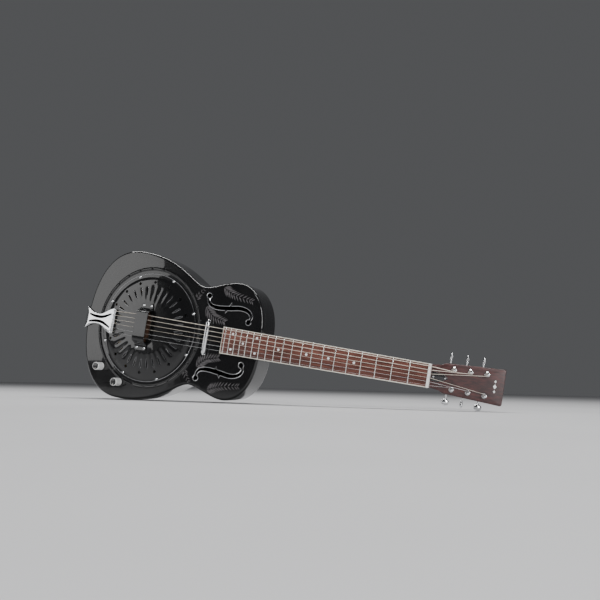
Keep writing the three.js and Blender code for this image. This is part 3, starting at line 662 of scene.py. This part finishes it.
def bead_seeds():
    seeds = []
    for step in range(-5, 6):
        radius = BEAD["middle"] + BEAD["half"] * step / 5
        for part in range(BEAD["parts"]):
            middle = 2 * math.pi * part / BEAD["parts"]
            for offset in (-0.096, -0.055, -0.022, -0.014, -0.007, 0, 0.007, 0.014, 0.022, 0.055):
                angle = middle + offset
                seeds.append((radius * math.cos(angle), radius * math.sin(angle)))
    return seeds


def add_lid(name, outline, holes, seeds, height, node, facing=1):
    """A pressed sheet with a rolled edge and a short lip."""
    bm = new()
    pressed(bm, inset(outline, EDGE), holes, seeds, height, SHEET, rim=False)
    arc = [math.pi / 2 * i / 9 for i in range(10)]
    outside = [(EDGE - EDGE * math.sin(a), EDGE * math.cos(a) - EDGE) for a in arc] + [(0, -LIP)]
    deep = EDGE - SHEET
    inside = [(EDGE - deep * math.sin(a), deep * math.cos(a) - EDGE) for a in arc] + [(SHEET, -LIP)]
    rows = [
        [bm.verts.new((x, y, z)) for x, y in inset(outline, distance)]
        for distance, z in outside + inside[::-1]
    ]
    quads(bm, rows)
    if facing < 0:
        bm.transform(Matrix.Translation((0, 0, -DEPTH)) @ Matrix.Diagonal((1, 1, -1, 1)))
    return piece(name, bm, LACQUER, "lacquered_shell", stands_for=(node,), weighted=True)


def add_body():
    outline = inset(body_outline(), SKIN_INSET)
    holes = [ring_points(0, 0, 115.4, 96)] + sound_hole(1) + sound_hole(-1)
    holes += [ring_points(x, y, 4.4, 24) for x, y in KNOBS.values()]
    add_lid("top_skin", outline, holes, bead_seeds(), bead_height, "body_top")
    add_lid("back_skin", outline, [], [], lambda x, y: 0.0, "body_back", facing=-1)
    bm = new()
    loops = []
    high, low = -LIP - LIP_GAP, LIP + LIP_GAP - DEPTH
    for distance, z in ((0, high), (0, low), (SHEET, low), (SHEET, high)):
        loops.append([bm.verts.new((x, y, z)) for x, y in inset(outline, distance)])
    quads(bm, loops + loops[:1])
    piece("side_skin", bm, LACQUER, "lacquered_shell", stands_for=("body_side_bass", "body_side_treble"))
    # The f-hole rims are lacquered edges given the brighter edge metal, for painted highlight lines.
    bm = new()
    for side in (1, -1):
        loop = outline_of(sound_hole(side))
        tube(bm, [(x, y, -0.5) for x, y in loop], 1.3, 10, closed=True)
    piece("sound_hole_rims", bm, HIGHLIGHT_EDGE, "lacquered_shell")


def leaflet(bm, root, direction, length, width, level=0.06):
    """One slim pointed leaf lying on the top."""
    along = Vector((math.cos(direction), math.sin(direction)))
    across_leaf = Vector((-along.y, along.x))
    outline = []
    steps = 7
    for i in range(steps + 1):
        t = i / steps
        outline.append(Vector(root) + along * length * t + across_leaf * width * math.sin(math.pi * t**0.8))
    for i in range(steps - 1, 0, -1):
        t = i / steps
        outline.append(Vector(root) + along * length * t - across_leaf * width * math.sin(math.pi * t**0.8))
    low = [bm.verts.new((p.x, p.y, 0.01)) for p in outline]
    high = [bm.verts.new((p.x, p.y, level)) for p in outline]
    quads(bm, [low, high])
    bm.faces.new(low[::-1])
    bm.faces.new(high)


def add_sprays():
    """Plain frosted sprays of leaves between the sound holes and the strings."""
    bm = new()
    stems = [
        ((140, 66), (160, 48), (188, 40), 10, 21),
        ((176, 112), (204, 100), (246, 92), 11, 18),
        ((112, 78), (116, 88), (126, 100), 4, 12),
    ]
    for side in (1, -1):
        for start, middle, end, count, length in stems:
            points = spline([start, middle, end], count)
            for i, (at, along) in enumerate(points):
                heading = math.atan2(along.y, along.x)
                size = length * (1 - 0.45 * i / count)
                for turn_out in (0.75, -0.75):
                    root = (at.x, side * at.y)
                    leaflet(bm, root, side * (heading + turn_out), size, size * 0.1)
    piece("frosted_sprays", bm, FROST, "lacquered_shell")


# ---- Resonator ----------------------------------------------------------------------------------

COVER_PROFILE = [(0, 9), (60, 7.8), (96, 5.4), (109, 3.9), (115, 1.7), (124, 1.5)]


def cover_height(x, y):
    radius = math.hypot(x, y)
    z = COVER_PROFILE[-1][1]
    for (r0, z0), (r1, z1) in zip(COVER_PROFILE, COVER_PROFILE[1:]):
        if r0 <= radius <= r1:
            t = (radius - r0) / (r1 - r0)
            z = z0 + (z1 - z0) * t
            break
    window = max(0.0, min(1.0, (radius - 56) / 12)) * max(0.0, min(1.0, (99 - radius) / 5))
    flute = 0.5 + 0.5 * math.cos(32 * math.atan2(y, x) + math.pi)
    return z + 0.26 * window * flute - 0.1 * window


def add_cover():
    holes = [[(-9.5, -36), (9.5, -36), (9.5, 36), (-9.5, 36)]]
    petals = []

    def petal_width(t):
        return 0.4 + 1.6 * math.sin(math.pi * t**1.4) ** 0.7

    for i in range(32):
        spin = Matrix.Rotation(2 * math.pi * i / 32, 2)
        petal = ribbon([(72, 0), (79, 0), (87, 0), (94, 0)], 10, petal_width)
        petals.append([tuple(spin @ Vector(p)) for p in petal])
    for i in range(16):
        spin = Matrix.Rotation(2 * math.pi * i / 16, 2)
        holes.append([tuple(spin @ Vector(p)) for p in ((98.8, 0), (103, -4.2), (107.2, 0), (103, 4.2))])
    seeds = []
    for radius in (20, 30, 40, 48, 54, 58, 61, 64, 67, 70, 74, 79, 84, 89, 92, 95, 97, 99, 104, 109,
                   112, 115, 119):
        seeds += ring_points(0, 0, radius, 256 if 52 < radius < 100 else 96)
    bm = new()
    pressed(bm, ring_points(0, 0, COVER_RADIUS, 128), holes + petals, seeds, cover_height, 1.1)
    piece("cover_skin", bm, LACQUER, "lacquered_shell", stands_for=("cover_plate",), sharp=40)
    # The cover rim and a thin tube round each petal take the brighter edge metal: painted highlight lines and
    # strokes.
    bm = new()
    circle = [(x, y, 1.5 - 0.35) for x, y in ring_points(0, 0, COVER_RADIUS - 0.9, 128)]
    tube(bm, circle, 0.85, 8, closed=True)
    for petal in petals:
        tube(bm, [(x, y, cover_height(x, y) - 0.1) for x, y in petal], 0.32, 6, closed=True)
    piece("cover_rim", bm, HIGHLIGHT_EDGE, "lacquered_shell")


def screw_head(bm, radius, height, place=Matrix(), cross=True):
    """A domed head with a driver recess."""
    long, slim = radius * 0.62, radius * 0.16
    slots = [[(-long, -slim), (long, -slim), (long, slim), (-long, slim)]]
    if cross:
        slots.append([(-slim, -long), (slim, -long), (slim, long), (-slim, long)])
    piece_bm = new()

    def dome(x, y):
        return height * (1 - 0.7 * (math.hypot(x, y) / radius) ** 2.4)

    seeds = ring_points(0, 0, radius * 0.8, 24) + ring_points(0, 0, radius * 0.92, 24)
    pressed(piece_bm, ring_points(0, 0, radius, 24), slots, seeds, dome, height * 0.7)
    lathe(piece_bm, [(0, 0), (radius * 0.96, 0), (radius * 0.96, height * 0.25), (0, height * 0.35)], 24)
    piece_bm.transform(place)
    copied = bpy.data.meshes.new("screw_head")
    piece_bm.to_mesh(copied)
    piece_bm.free()
    bm.from_mesh(copied)
    bpy.data.meshes.remove(copied)


def add_screws():
    for i in range(8):
        angle = (i + 0.5) * math.pi / 4
        x, y = SCREW_CIRCLE * math.cos(angle), SCREW_CIRCLE * math.sin(angle)
        bm = new()
        screw_head(bm, 3.1, 1.8, moved(x, y, 1.75) @ turned("Z", 23 * i))
        piece(f"cover_screw_head_{i + 1}", bm, CHROME, "chrome_fittings",
              stands_for=(f"cover_screw_{i + 1}",))
    for i, (x, y) in enumerate(REST_SCREWS):
        bm = new()
        screw_head(bm, 3.0, 1.9, moved(x, y, 10.9) @ turned("Z", 40 * i), cross=False)
        name = f"hand_rest_screw_{i + 1}"
        piece(f"{name}_head", bm, CHROME, "chrome_fittings", stands_for=(name,))


def add_inner_works():
    rim = -27 + 1.5
    upper = [(113, rim + 1.6), (111, rim + 2), (108, rim + 1.6), (104, rim + 0.9), (98, -23.4), (88, -20.4),
             (78, -17.6), (74, -15.2), (60, -11.8), (45, -8.2), (30, -4.6), (26, -2.9), (0, -2.9)]
    bm = new()
    lathe(bm, [(r, z - 0.9) for r, z in upper][::-1] + upper, 128)
    # The cone wears the aluminium darkened as painted shade.
    piece("cone_skin", bm, SHADED_SPUN, "spun_cone", stands_for=("resonator_cone",))
    bm = new()
    lathe(bm, [(0, -2.6), (24, -2.6), (25, -1.8), (25, 4.4), (24, 5.4), (0, 5.4)], 64)
    # The biscuit's maple is darkened as painted shade.
    piece("biscuit_disc", bm, SHADED_MAPLE, "maple", stands_for=("biscuit",))
    bm = new()
    block(bm, (-2, -34, 5.7), (2, 34, SADDLE_TOP - 3))
    # The saddle base's maple is darkened as painted shade.
    piece("saddle_base", bm, SHADED_MAPLE, "maple", stands_for=("saddle",), bevel=0.25)
    bm = new()
    notched(bm, 34, SADDLE_TOP - 3, SADDLE_TOP, SADDLE_SPACING, SADDLE_TOP - 1.3, -1.9, 1.9)
    piece("saddle_strip", bm, BONE, "maple", bevel=0.25)


def notched(bm, half, low, high, spacing, floor, x0, x1):
    """A strip across the strings, notched under each of them."""
    top = [(-half, high)]
    for i in range(5, -1, -1):
        y, r = (2.5 - i) * spacing, STRING_RADII[i] + 0.12
        top += [(y - r, high), (y - r, floor + 0.3), (y, floor), (y + r, floor + 0.3), (y + r, high)]
    top += [(half, high), (half, low), (-half, low)]
    rings = [[(x, y, z) for y, z in top] for x in (x0, x1)]
    loft(bm, rings)


def add_hand_rest():
    x0, x1, sheet = -22, 10, 1.6
    half = [(0, 26), (12, 25.9), (22, 25.7), (28, 25.4), (31, 25.1), (32.8, 24.3), (34, 22.9), (37.5, 16.8),
            (40, 12.4), (41.2, 11.2), (42.6, 10.8), (48, 10.8), (54, 10.8)]
    line = [(-y, z) for y, z in half[:0:-1]] + half
    rings = []
    for i, (y, z) in enumerate(line):
        before, after = Vector(line[max(i - 1, 0)]), Vector(line[min(i + 1, len(line) - 1)])
        along = (after - before).normalized()
        yi, zi = y + along.y * sheet, z - along.x * sheet
        tuck = 2.6 * max(0.0, min(1.0, (abs(y) - 50) / 4)) ** 2
        a, b = x0 + tuck, x1 - tuck
        rings.append([(a, y, z), (b, y, z), (b, yi, zi), (a, yi, zi)])
    bm = new()
    loft(bm, rings)
    piece("hand_rest_skin", bm, LACQUER, "lacquered_shell", stands_for=("hand_rest",), bevel=0.45, sharp=50,
          weighted=True)


# ---- Neck ---------------------------------------------------------------------------------------


def neck_section(x, half, depth, top=NECK_TOP, roundness=0.9):
    arc = 40
    ring = []
    for i in range(arc + 1):
        angle = math.pi * i / arc
        z = top - 3 - (depth - 3) * max(0.0, math.sin(angle)) ** roundness
        ring.append((x, half * math.cos(angle), top if i in (0, arc) else z))
    return ring


def neck_half(x):
    t = (x - NECK_END_X) / (SCALE_LENGTH - NECK_END_X)
    return 26.2 + (22.2 - 26.2) * t


def neck_shaft(bm):
    start = NECK_END_X + 0.3
    rings = []
    stations = [start + (SCALE_LENGTH - 10 - start) * (i / 46) ** 1.6 for i in range(47)]
    for x in stations:
        t = (x - NECK_END_X) / (SCALE_LENGTH - NECK_END_X)
        plain = 23 + (20 - 23) * t
        heel = (58 - 23) * math.exp(-(((x - start) / 24) ** 2))
        rings.append(neck_section(x, neck_half(x), plain + heel))
    drop = math.tan(math.radians(HEAD_TILT))
    behind = [(6, 22, 20.5), (12, 23, 19.4), (18, 24, 18), (26, 24, 16), (34, 24, 13.5)]
    for past, half, depth in behind:
        x = SCALE_LENGTH + past
        top = NECK_TOP - max(0, past - 5) * drop - 0.5
        rings.append(neck_section(x, half, depth, top, 0.8))
    loft(bm, rings)


def head_outline():
    half = [(0, -22.2), (10, -22.4)]
    half += bezier((10, -22.4), (20, -22.6), (20, -29), (31, -29), 10)
    half += [(31, -29), (HEAD_LENGTH - 4, -34.5)]
    for i in range(1, 7):
        angle = math.pi / 2 * i / 6
        half.append((HEAD_LENGTH - 4 + 4 * math.sin(angle), -30.5 - 4 * math.cos(angle)))
    return half + mirror(half)[::-1]


def posts():
    """Every post: its side's name and sign, its number, and its place on the headstock."""
    for side, name in ((1, "bass"), (-1, "treble")):
        for i, (u, v) in enumerate(zip(POST_ALONG, POST_OUT)):
            yield name, side, i, u, side * v


def add_neck():
    bm = new()
    neck_shaft(bm)
    piece("neck_shaft_skin", bm, MAHOGANY, "mahogany", sharp=50, stands_for=("neck",))
    bm = new()
    holes = [ring_points(u, v, POST_RADIUS + 1, 24) for _, _, _, u, v in posts()]
    plate(bm, head_outline(), holes, 0, -HEAD_THICKNESS, 1.4, 4)
    piece("headstock_skin", bm, MAHOGANY, "mahogany", HEAD)
    bm = new()
    loft(bm, [board_ring(BOARD["end"], BOARD["end_half"]), board_ring(SCALE_LENGTH - 0.3, BOARD["nut_half"])])
    piece("fretboard_skin", bm, ROSEWOOD, "rosewood", stands_for=("fretboard",))
    bm = new()
    inner = [(SCALE_LENGTH - 0.3, BOARD["nut_half"] + 0.05), (BOARD["end"] - 0.05, BOARD["end_half"] + 0.05)]
    outer = [(SCALE_LENGTH - 0.3, BOARD["nut_half"] + 0.3 + BINDING),
             (BOARD["end"] - 0.3 - BINDING, BOARD["end_half"] + 0.3 + BINDING)]
    outline = inner + mirror(inner)[::-1] + mirror(outer) + outer[::-1]
    plate(bm, outline, (), BOARD["top"] - BOARD["crown"] + 0.1, BOARD["bottom"], 0.0)
    piece("binding_strip", bm, IVORY, "ivory_plastic", stands_for=("fretboard_binding",), bevel=0.3)
    bm = new()
    half = BOARD["nut_half"] + 0.3 + BINDING
    notched(bm, half, NECK_TOP + 0.3, NUT_TOP + 0.9, NUT_SPACING, NUT_TOP - 0.8,
            SCALE_LENGTH, SCALE_LENGTH + 4.7)
    piece("nut_bar", bm, BONE, "ivory_plastic", stands_for=("nut",), bevel=0.3)


def board_z(y, half):
    return BOARD["top"] - BOARD["crown"] * (y / half) ** 2


def board_half(x):
    t = (x - BOARD["end"]) / (SCALE_LENGTH - BOARD["end"])
    return BOARD["end_half"] + (BOARD["nut_half"] - BOARD["end_half"]) * t


def board_ring(x, half):
    upper = [(x, half * s / 12, board_z(half * s / 12, half)) for s in range(-12, 13)]
    return [(x, half, BOARD["bottom"]), (x, -half, BOARD["bottom"])] + upper


def fret_x(n):
    return SCALE_LENGTH * 2 ** (-n / 12)


def add_frets():
    bm = new()
    for n in range(1, 21):
        x = fret_x(n)
        half = board_half(x)
        rings = []
        for s in range(-12, 13):
            y = (half + 1.3) * s / 12
            z = board_z(max(-half, min(half, y)), half)
            end = 0.55 if abs(s) == 12 else 1.0
            arc = [(x + 1.15 * math.cos(a), y, z - 0.05 + 1.05 * end * math.sin(a)) for a in
                   (math.pi * k / 6 for k in range(7))]
            rings.append(arc)
        loft(bm, rings)
    piece("frets", bm, FRET_WIRE, "chrome_fittings", sharp=60)
    bm = new()
    for n, places in ((5, (0,)), (7, (0,)), (9, (0,)), (12, (0,)), (15, (-1, 1)), (17, (0,)), (19, (-1, 1))):
        x = (fret_x(n) + fret_x(n - 1)) / 2
        for place in places:
            y = place * 0.62 * board_half(x)
            z = board_z(y, board_half(x))
            lathe(bm, [(0, -0.8), (2.7, -0.8), (2.7, 0.03), (2.4, 0.1), (0, 0.1)], 24, moved(x, y, z))
    piece("position_dots", bm, PEARL, "ivory_plastic")


# ---- Headstock fittings -------------------------------------------------------------------------


def add_head_trim():
    half = bezier((1.5, -9.5), (14, -9), (20, -8), (27, -4), 10) + [(27, -4), (30.4, -2.1), (32, 0)]
    outline = half + mirror(half[:-1])[::-1]
    bm = new()
    plate(bm, outline, (), 2.1, 0.3, 0.7, 4)
    piece("truss_cover_skin", bm, BLACK, "black_plastic", HEAD, stands_for=("truss_rod_cover",))
    bm = new()
    plate(bm, inset(outline, -0.05), (), 0.9, 0.25, 0.0)
    piece("truss_cover_edge", bm, IVORY, "ivory_plastic", HEAD)
    bm = new()
    for u, v in ((5, 0), (27, 0)):
        screw_head(bm, 1.7, 1.0, moved(u, v, 2.0))
    piece("truss_cover_screws", bm, CHROME, "chrome_fittings", HEAD)
    bm = new()
    for v, size in ((-9.5, 3.0), (0, 4.6), (9.5, 3.0)):
        shape = [(119 - size * 0.7, v), (119, v - size), (119 + size * 0.7, v), (119, v + size)]
        plate(bm, shape, (), 0.08, -0.5, 0.0)
    piece("headstock_inlay", bm, PEARL, "ivory_plastic", HEAD)
    bm = new()
    bushing = [(3.3, 0), (5.4, 0), (5.4, 0.5), (4.9, 1.0), (4.5, 1.6), (3.9, 2.2), (3.3, 2.2)]
    for _, _, _, u, v in posts():
        lathe(bm, bushing, 36, moved(u, v))
    piece("post_bushings", bm, CHROME, "chrome_fittings", HEAD)


def gear_ring():
    points = []
    for i in range(14 * 4):
        radius = (4.75, 4.75, 3.85, 3.85)[i % 4]
        angle = 2 * math.pi * (i + (0.3 if i % 2 else 0)) / 56
        points.append((radius * math.cos(angle), radius * math.sin(angle)))
    return points


def add_posts():
    for name, side, i, u, v in posts():
        bm = new()
        place = moved(u, v)
        low = GEAR_TOP - 5
        profile = [(0, low), (2.2, low), (2.4, low + 0.3), (2.4, GEAR_TOP - 1), (3, GEAR_TOP - 0.6), (3, 6.6),
                   (2.6, 7.6), (2.35, 8.6), (2.35, 10), (2.6, 11), (3, 11.8), (3, 13.9), (2.7, 14.6), (0, 15)]
        lathe(bm, profile, 32, place)
        plate(bm, gear_ring(), (), GEAR_TOP, GEAR_TOP - 4, 0.0, place=place)
        screw_head(bm, 2.3, 0.9, place @ moved(0, 0, low) @ turned("X", 180), cross=False)
        piece(f"post_skin_{name}_{i + 1}", bm, CHROME, "chrome_fittings", HEAD, f"string_post_{name}_{i + 1}",
              (f"string_post_{name}_{i + 1}",))


def worm(bm, place):
    def thread(r, z, angle):
        if r < 0.1 or abs(z) > 4.9:
            return r, z
        return 1.62 + 0.36 * math.cos(2 * math.pi * z / 1.5 - angle), z

    steps = 52
    profile = [(0, -5)] + [(1.5, -5 + 10 * k / steps) for k in range(steps + 1)] + [(0, 5)]
    lathe(bm, profile, 20, place, thread)


def add_buttons():
    rest = {"bass": (90, 90, 90), "treble": (0, 90, 0)}
    for name, side, i, u, v in posts():
        place = moved(u + WORM_OFFSET, v, WORM_LEVEL) @ turned("X", -90 * side) @ turned("Z", rest[name][i])
        reach = 45 - POST_OUT[i]
        bm = new()
        worm(bm, place)
        shaft = [(0, -8), (1.4, -8), (1.5, -7.8), (1.5, reach - 8.4), (2.2, reach - 8.2), (2.7, reach - 7.4),
                 (2.5, reach - 6.4), (1.9, reach - 5.8), (2.3, reach - 4.6), (2.3, reach - 3), (0, reach - 3)]
        lathe(bm, shaft, 28, place)
        oval = []
        for k in range(17):
            angle = math.pi * k / 16 - math.pi / 2
            oval.append((0.93 * max(0.0, math.cos(angle)) ** 0.8, 0.98 * math.sin(angle)))
        oval[0], oval[-1] = (0, oval[0][1]), (0, oval[-1][1])
        lathe(bm, oval, 40, place @ moved(0, 0, reach) @ Matrix.Diagonal((8.2, 3.1, 6.1, 1)))
        body = f"tuner_button_{name}_{i + 1}"
        piece(f"button_skin_{name}_{i + 1}", bm, CHROME, "chrome_fittings", HEAD, body, (body,))


def add_tuner_plates():
    for name, side in (("bass", 1), ("treble", -1)):
        slope = 5.5 / HEAD_LENGTH

        def edge(u, inward):
            return side * (POST_OUT[0] + slope * (u - POST_ALONG[0]) - inward)

        first, last = POST_ALONG[0] - 12, POST_ALONG[2] + 18
        corners = [(x, edge(x, out)) for x, out in ((first, 9), (last, 9), (last, -9), (first, -9))]
        outline = []
        for k in range(4):
            at, before, after = Vector(corners[k]), Vector(corners[k - 1]), Vector(corners[(k + 1) % 4])
            a, b = at + (before - at).normalized() * 3, at + (after - at).normalized() * 3
            for t in (0, 0.25, 0.5, 0.75, 1):
                outline.append(tuple(a.lerp(at, t).lerp(at.lerp(b, t), t)))
        bm = new()
        holes = [ring_points(u, side * v, POST_RADIUS + 0.4, 24) for u, v in zip(POST_ALONG, POST_OUT)]
        plate(bm, outline, holes, PLATE_BACK + 1.2, PLATE_BACK, 0.4)
        for u, v in zip(POST_ALONG, POST_OUT):
            at, v = u + WORM_OFFSET, side * v
            for step in (-6.6, 6.6):
                ear = [(-2.6, PLATE_BACK + 0.3), (2.6, PLATE_BACK + 0.3), (2.6, WORM_LEVEL)]
                ear += [(2.6 * math.cos(a), WORM_LEVEL - 2.6 * math.sin(a)) for a in
                        (math.pi * k / 10 for k in range(1, 10))] + [(-2.6, WORM_LEVEL)]
                bore = ring_points(0, WORM_LEVEL, 1.75, 20)
                upright = moved(at, v + step + 0.9) @ turned("X", 90)
                plate(bm, ear, [bore], 1.8, 0.0, 0.0, place=upright)
        for u in (along + 9 for along in POST_ALONG):
            for inward in (6.2, -6.2):
                spot = moved(u, edge(u, inward), PLATE_BACK) @ turned("X", 180) @ turned("Z", u * 7)
                screw_head(bm, 1.9, 1.0, spot)
        piece(f"tuner_plate_skin_{name}", bm, CHROME, "chrome_fittings", HEAD,
              stands_for=(f"tuner_plate_{name}",))


# ---- Strings ------------------------------------------------------------------------------------


def add_strings():
    for i, radius in enumerate(STRING_RADII):
        place = 2.5 - i
        name, side, k, u, v = [p for p in posts() if p[1] == (1 if i < 3 else -1)][i if i < 3 else 5 - i]
        wound = i < 4
        material, slot = (WOUND, "bronze_wound") if wound else (PLAIN_STRING, "steel")
        gap = POST_RADIUS + radius
        leave = GUITAR.inverted() @ HEAD @ Vector((u - 1, v - side * (gap + 0.05), 9.2))
        route = [
            Vector((ANCHOR[0] - 1.2, place * 9.6, ANCHOR[1] - 0.4)),
            Vector((0, place * SADDLE_SPACING, SADDLE_TOP - 1.0 + radius)),
            Vector((SCALE_LENGTH + 4, place * NUT_SPACING, NUT_TOP - 0.5 + radius)),
            leave,
        ]
        points = []
        for a, b in zip(route, route[1:]):
            points += [a.lerp(b, t) for t in (0, 0.004, 0.5, 0.996)]
        points.append(route[-1])
        bm = new()
        tube(bm, points, radius, 10)
        piece(f"string_wire_{6 - i}", bm, material, slot, stands_for=(f"string_{6 - i}",))
        bm = new()
        coil = []
        for step in range(3 * 20 + 1):
            angle = -side * (math.pi / 2 - 0.3) + side * 2 * math.pi * step / 20
            ring = 2.4 + radius if step > 3 else gap
            level = 9.3 - 2.05 * radius * step / 20
            coil.append((u + ring * math.cos(angle), v + ring * math.sin(angle), level))
        tube(bm, coil, radius, 8)
        piece(f"string_wraps_{6 - i}", bm, material, slot, HEAD, f"string_post_{name}_{k + 1}")


# ---- Fittings on the top ------------------------------------------------------------------------


def add_tailpiece():
    low, sheet = 1.6, 1.8
    corner, waist = (TAIL_X - 1.8, 25), (TAIL_X + 36, 11.5)
    half = bezier(corner, (TAIL_X + 16, 13.5), (TAIL_X + 22, 11.5), waist, 12)
    half += bezier((TAIL_X + 36, 11.5), (-124, 11.5), (-112, 26), (-96, 29), 12) + [(-96, 29), (-88, 28)]
    outline = half + mirror(half)[::-1]
    slots = []
    for side in (1, -1):
        slot_outline = ribbon([(-166, 9), (-146, 5.5), (-124, 6.5), (-100, 16)], 24,
                              lambda t: 1.9 + 1.6 * math.sin(math.pi * t))
        slots.append(slot_outline if side > 0 else mirror(slot_outline))
    rise = math.atan2(ANCHOR[1] - low - 2, ANCHOR[0] - TAIL_X)
    climb = moved(TAIL_X, 0, low) @ Matrix.Rotation(-rise, 4, "Y") @ moved(-TAIL_X, 0, -low)
    bm = new()
    plate(bm, outline, slots, low + sheet, low, 0.5, 3, place=climb)
    tube(bm, [climb @ Vector((ANCHOR[0] - 2.6, y, low + 1.9)) for y in (-28, 28)], 2.6, 20)
    for i in range(6):
        y = (2.5 - i) * 9.6
        lathe(bm, [(0, 0), (2.1, 0), (2.1, 1.6), (1.5, 2.2), (0, 2.2)], 20,
              climb @ moved(ANCHOR[0] - 7.5, y, low + sheet - 0.4))
    piece("tailpiece_skin", bm, CHROME, "chrome_fittings", stands_for=("tailpiece",))
    # A matt black sheet under each slot, where there is only shadow: painted shade that makes the slots read
    # dark.
    bm = new()
    for slot_outline in slots:
        plate(bm, inset(slot_outline, -0.7), (), low - 0.05, low - 0.65, 0.0, place=climb)
    piece("tailpiece_slot_shade", bm, SLOT_SHADE, "black_plastic")
    bm = new()
    upright = moved(TAIL_X - 2.1, 0) @ turned("Y", 90) @ turned("Z", 90)
    flange = [(-25, -30), (25, -30), (25, 2.6), (-25, 2.6)]
    plate(bm, flange, [ring_points(0, -20, 3.4, 24)], 1.8, 0, 0.0, place=upright)
    piece("tailpiece_flange", bm, CHROME, "chrome_fittings", bevel=0.4)


def add_pickup():
    half = 34.5
    profile = [(0, -half - 4.6), (2.0, -half - 4.6), (2.6, -half - 4.0), (2.7, -half - 2.6),
               (3.4, -half - 1.6), (4.7, -half), (5.4, -half + 1.6), (5.6, -half + 3.4)]
    profile += [(r, -y) for r, y in profile[::-1]]
    bm = new()
    lathe(bm, profile, 48, moved(155, 0, 6.6) @ turned("X", 90))
    for side in (-1, 1):
        peg = [(0, 0.3), (2.6, 0.3), (2.6, 2), (2, 2.4), (2, 7), (0, 7)]
        lathe(bm, peg, 24, moved(155, side * (half + 1.6)))
    piece("pickup_tube", bm, CHROME, "chrome_fittings", stands_for=("pickup",))


def add_knobs():
    for name, (x, y) in KNOBS.items():
        def knurl(r, z, angle):
            ribbed = 3.6 < z < 17.2 and r > 8
            return (r - 0.35 * (0.5 + 0.5 * math.cos(36 * angle)) if ribbed else r), z

        bm = new()
        profile = [(4.6, 1.6), (8.6, 1.6), (9, 2), (9, 3.4)] + [(9, 3.7 + 0.9 * k) for k in range(16)]
        profile += [(9, 18), (8.9, 20), (8.6, 21.1), (8.1, 21.6), (7.6, 21.6), (7.6, 19), (4.6, 19)]
        lathe(bm, profile, 144, moved(x, y), knurl)
        piece(f"{name}_knob_skin", bm, KNURLED, "chrome_fittings", body=f"{name}_knob",
              stands_for=(f"{name}_knob",))
        bm = new()
        lathe(bm, [(0, 19.1), (7.5, 19.1), (7.5, 21.5), (7.2, 21.8), (6.6, 21.9), (0, 21.9)], 64, moved(x, y))
        piece(f"{name}_cap", bm, BLACK, "black_plastic", body=f"{name}_knob")
        bm = new()
        block(bm, (x - 0.5, y - 6.8, 21.5), (x + 0.5, y - 3.8, 22.0))
        piece(f"{name}_pointer", bm, IVORY, "ivory_plastic", body=f"{name}_knob", bevel=0.15)
        bm = new()
        lathe(bm, [(3.9, 0.02), (7.2, 0.02), (7.2, 0.5), (6.6, 0.9), (3.9, 0.9)], 40, moved(x, y))
        piece(f"{name}_washer", bm, SATIN, "chrome_fittings")


def jack_place():
    curve = [(TAIL_X, 0), (TAIL_X, 96), (-137, 171), (-56, 171)]
    before, at, after = (mirror(bezier(*curve, 8))[i] for i in (4, 5, 6))
    along = Vector(after) - Vector(before)
    angle = math.atan2(-along.x, along.y)
    return moved(at[0], at[1], -DEPTH / 2) @ Matrix.Rotation(angle, 4, "Z") @ turned("Y", 90)


def add_tail_hardware():
    place = jack_place()
    bm = new()
    lathe(bm, [(5.2, 0.4), (11, 0.4), (11, 1.0), (10.4, 1.8), (8.6, 2.3), (5.2, 2.3)], 48, place)
    piece("jack_plate_skin", bm, CHROME, "chrome_fittings", stands_for=("jack_plate",))
    bm = new()
    socket = [(0, -27), (4.9, -27), (4.9, 3.1), (4.6, 3.4), (3.6, 3.4), (3.3, 3.1), (3.3, -25), (0, -25)]
    lathe(bm, socket, 40, place)
    hexagon = ring_points(0, 0, 7.2, 6)
    plate(bm, hexagon, [ring_points(0, 0, 4.95, 24)], 3.0, 2.35, 0.0, place=place)
    piece("jack_barrel", bm, STEEL, "steel", stands_for=("output_jack",))
    bm = new()
    profile = [(0, 0), (2.9, 0), (2.9, 2.2), (6.2, 2.2), (6.4, 2.6), (6.4, 3.6), (5.4, 4.8), (4.4, 6),
               (4.1, 7.4), (4.3, 9), (5.2, 10.6), (6.6, 11.8), (7, 12.4), (7, 13.4), (6.6, 14), (0, 14)]
    lathe(bm, profile, 48, moved(TAIL_X - 0.3, 0, -20) @ turned("Y", -90))
    piece("strap_pin", bm, CHROME, "chrome_fittings", stands_for=("strap_button",))


def dress_frame():
    """Materials for the solids that show as they are."""
    looks = {
        "sound_well": BRASS, "volume_shaft": BRASS, "tone_shaft": BRASS, "neck_stick": MAPLE,
        "truss_rod": STEEL, "volume_pot": STEEL, "tone_pot": STEEL,
    }
    for node, made in frame["nodes"].items():
        made.data.materials.clear()
        made.data.materials.append(looks.get(node, CHROME))


add_camera()
add_studio()
dress_frame()
add_body()
add_sprays()
add_cover()
add_screws()
add_inner_works()
add_hand_rest()
add_neck()
add_frets()
add_head_trim()
add_posts()
add_buttons()
add_tuner_plates()
add_strings()
add_tailpiece()
add_pickup()
add_knobs()
add_tail_hardware()
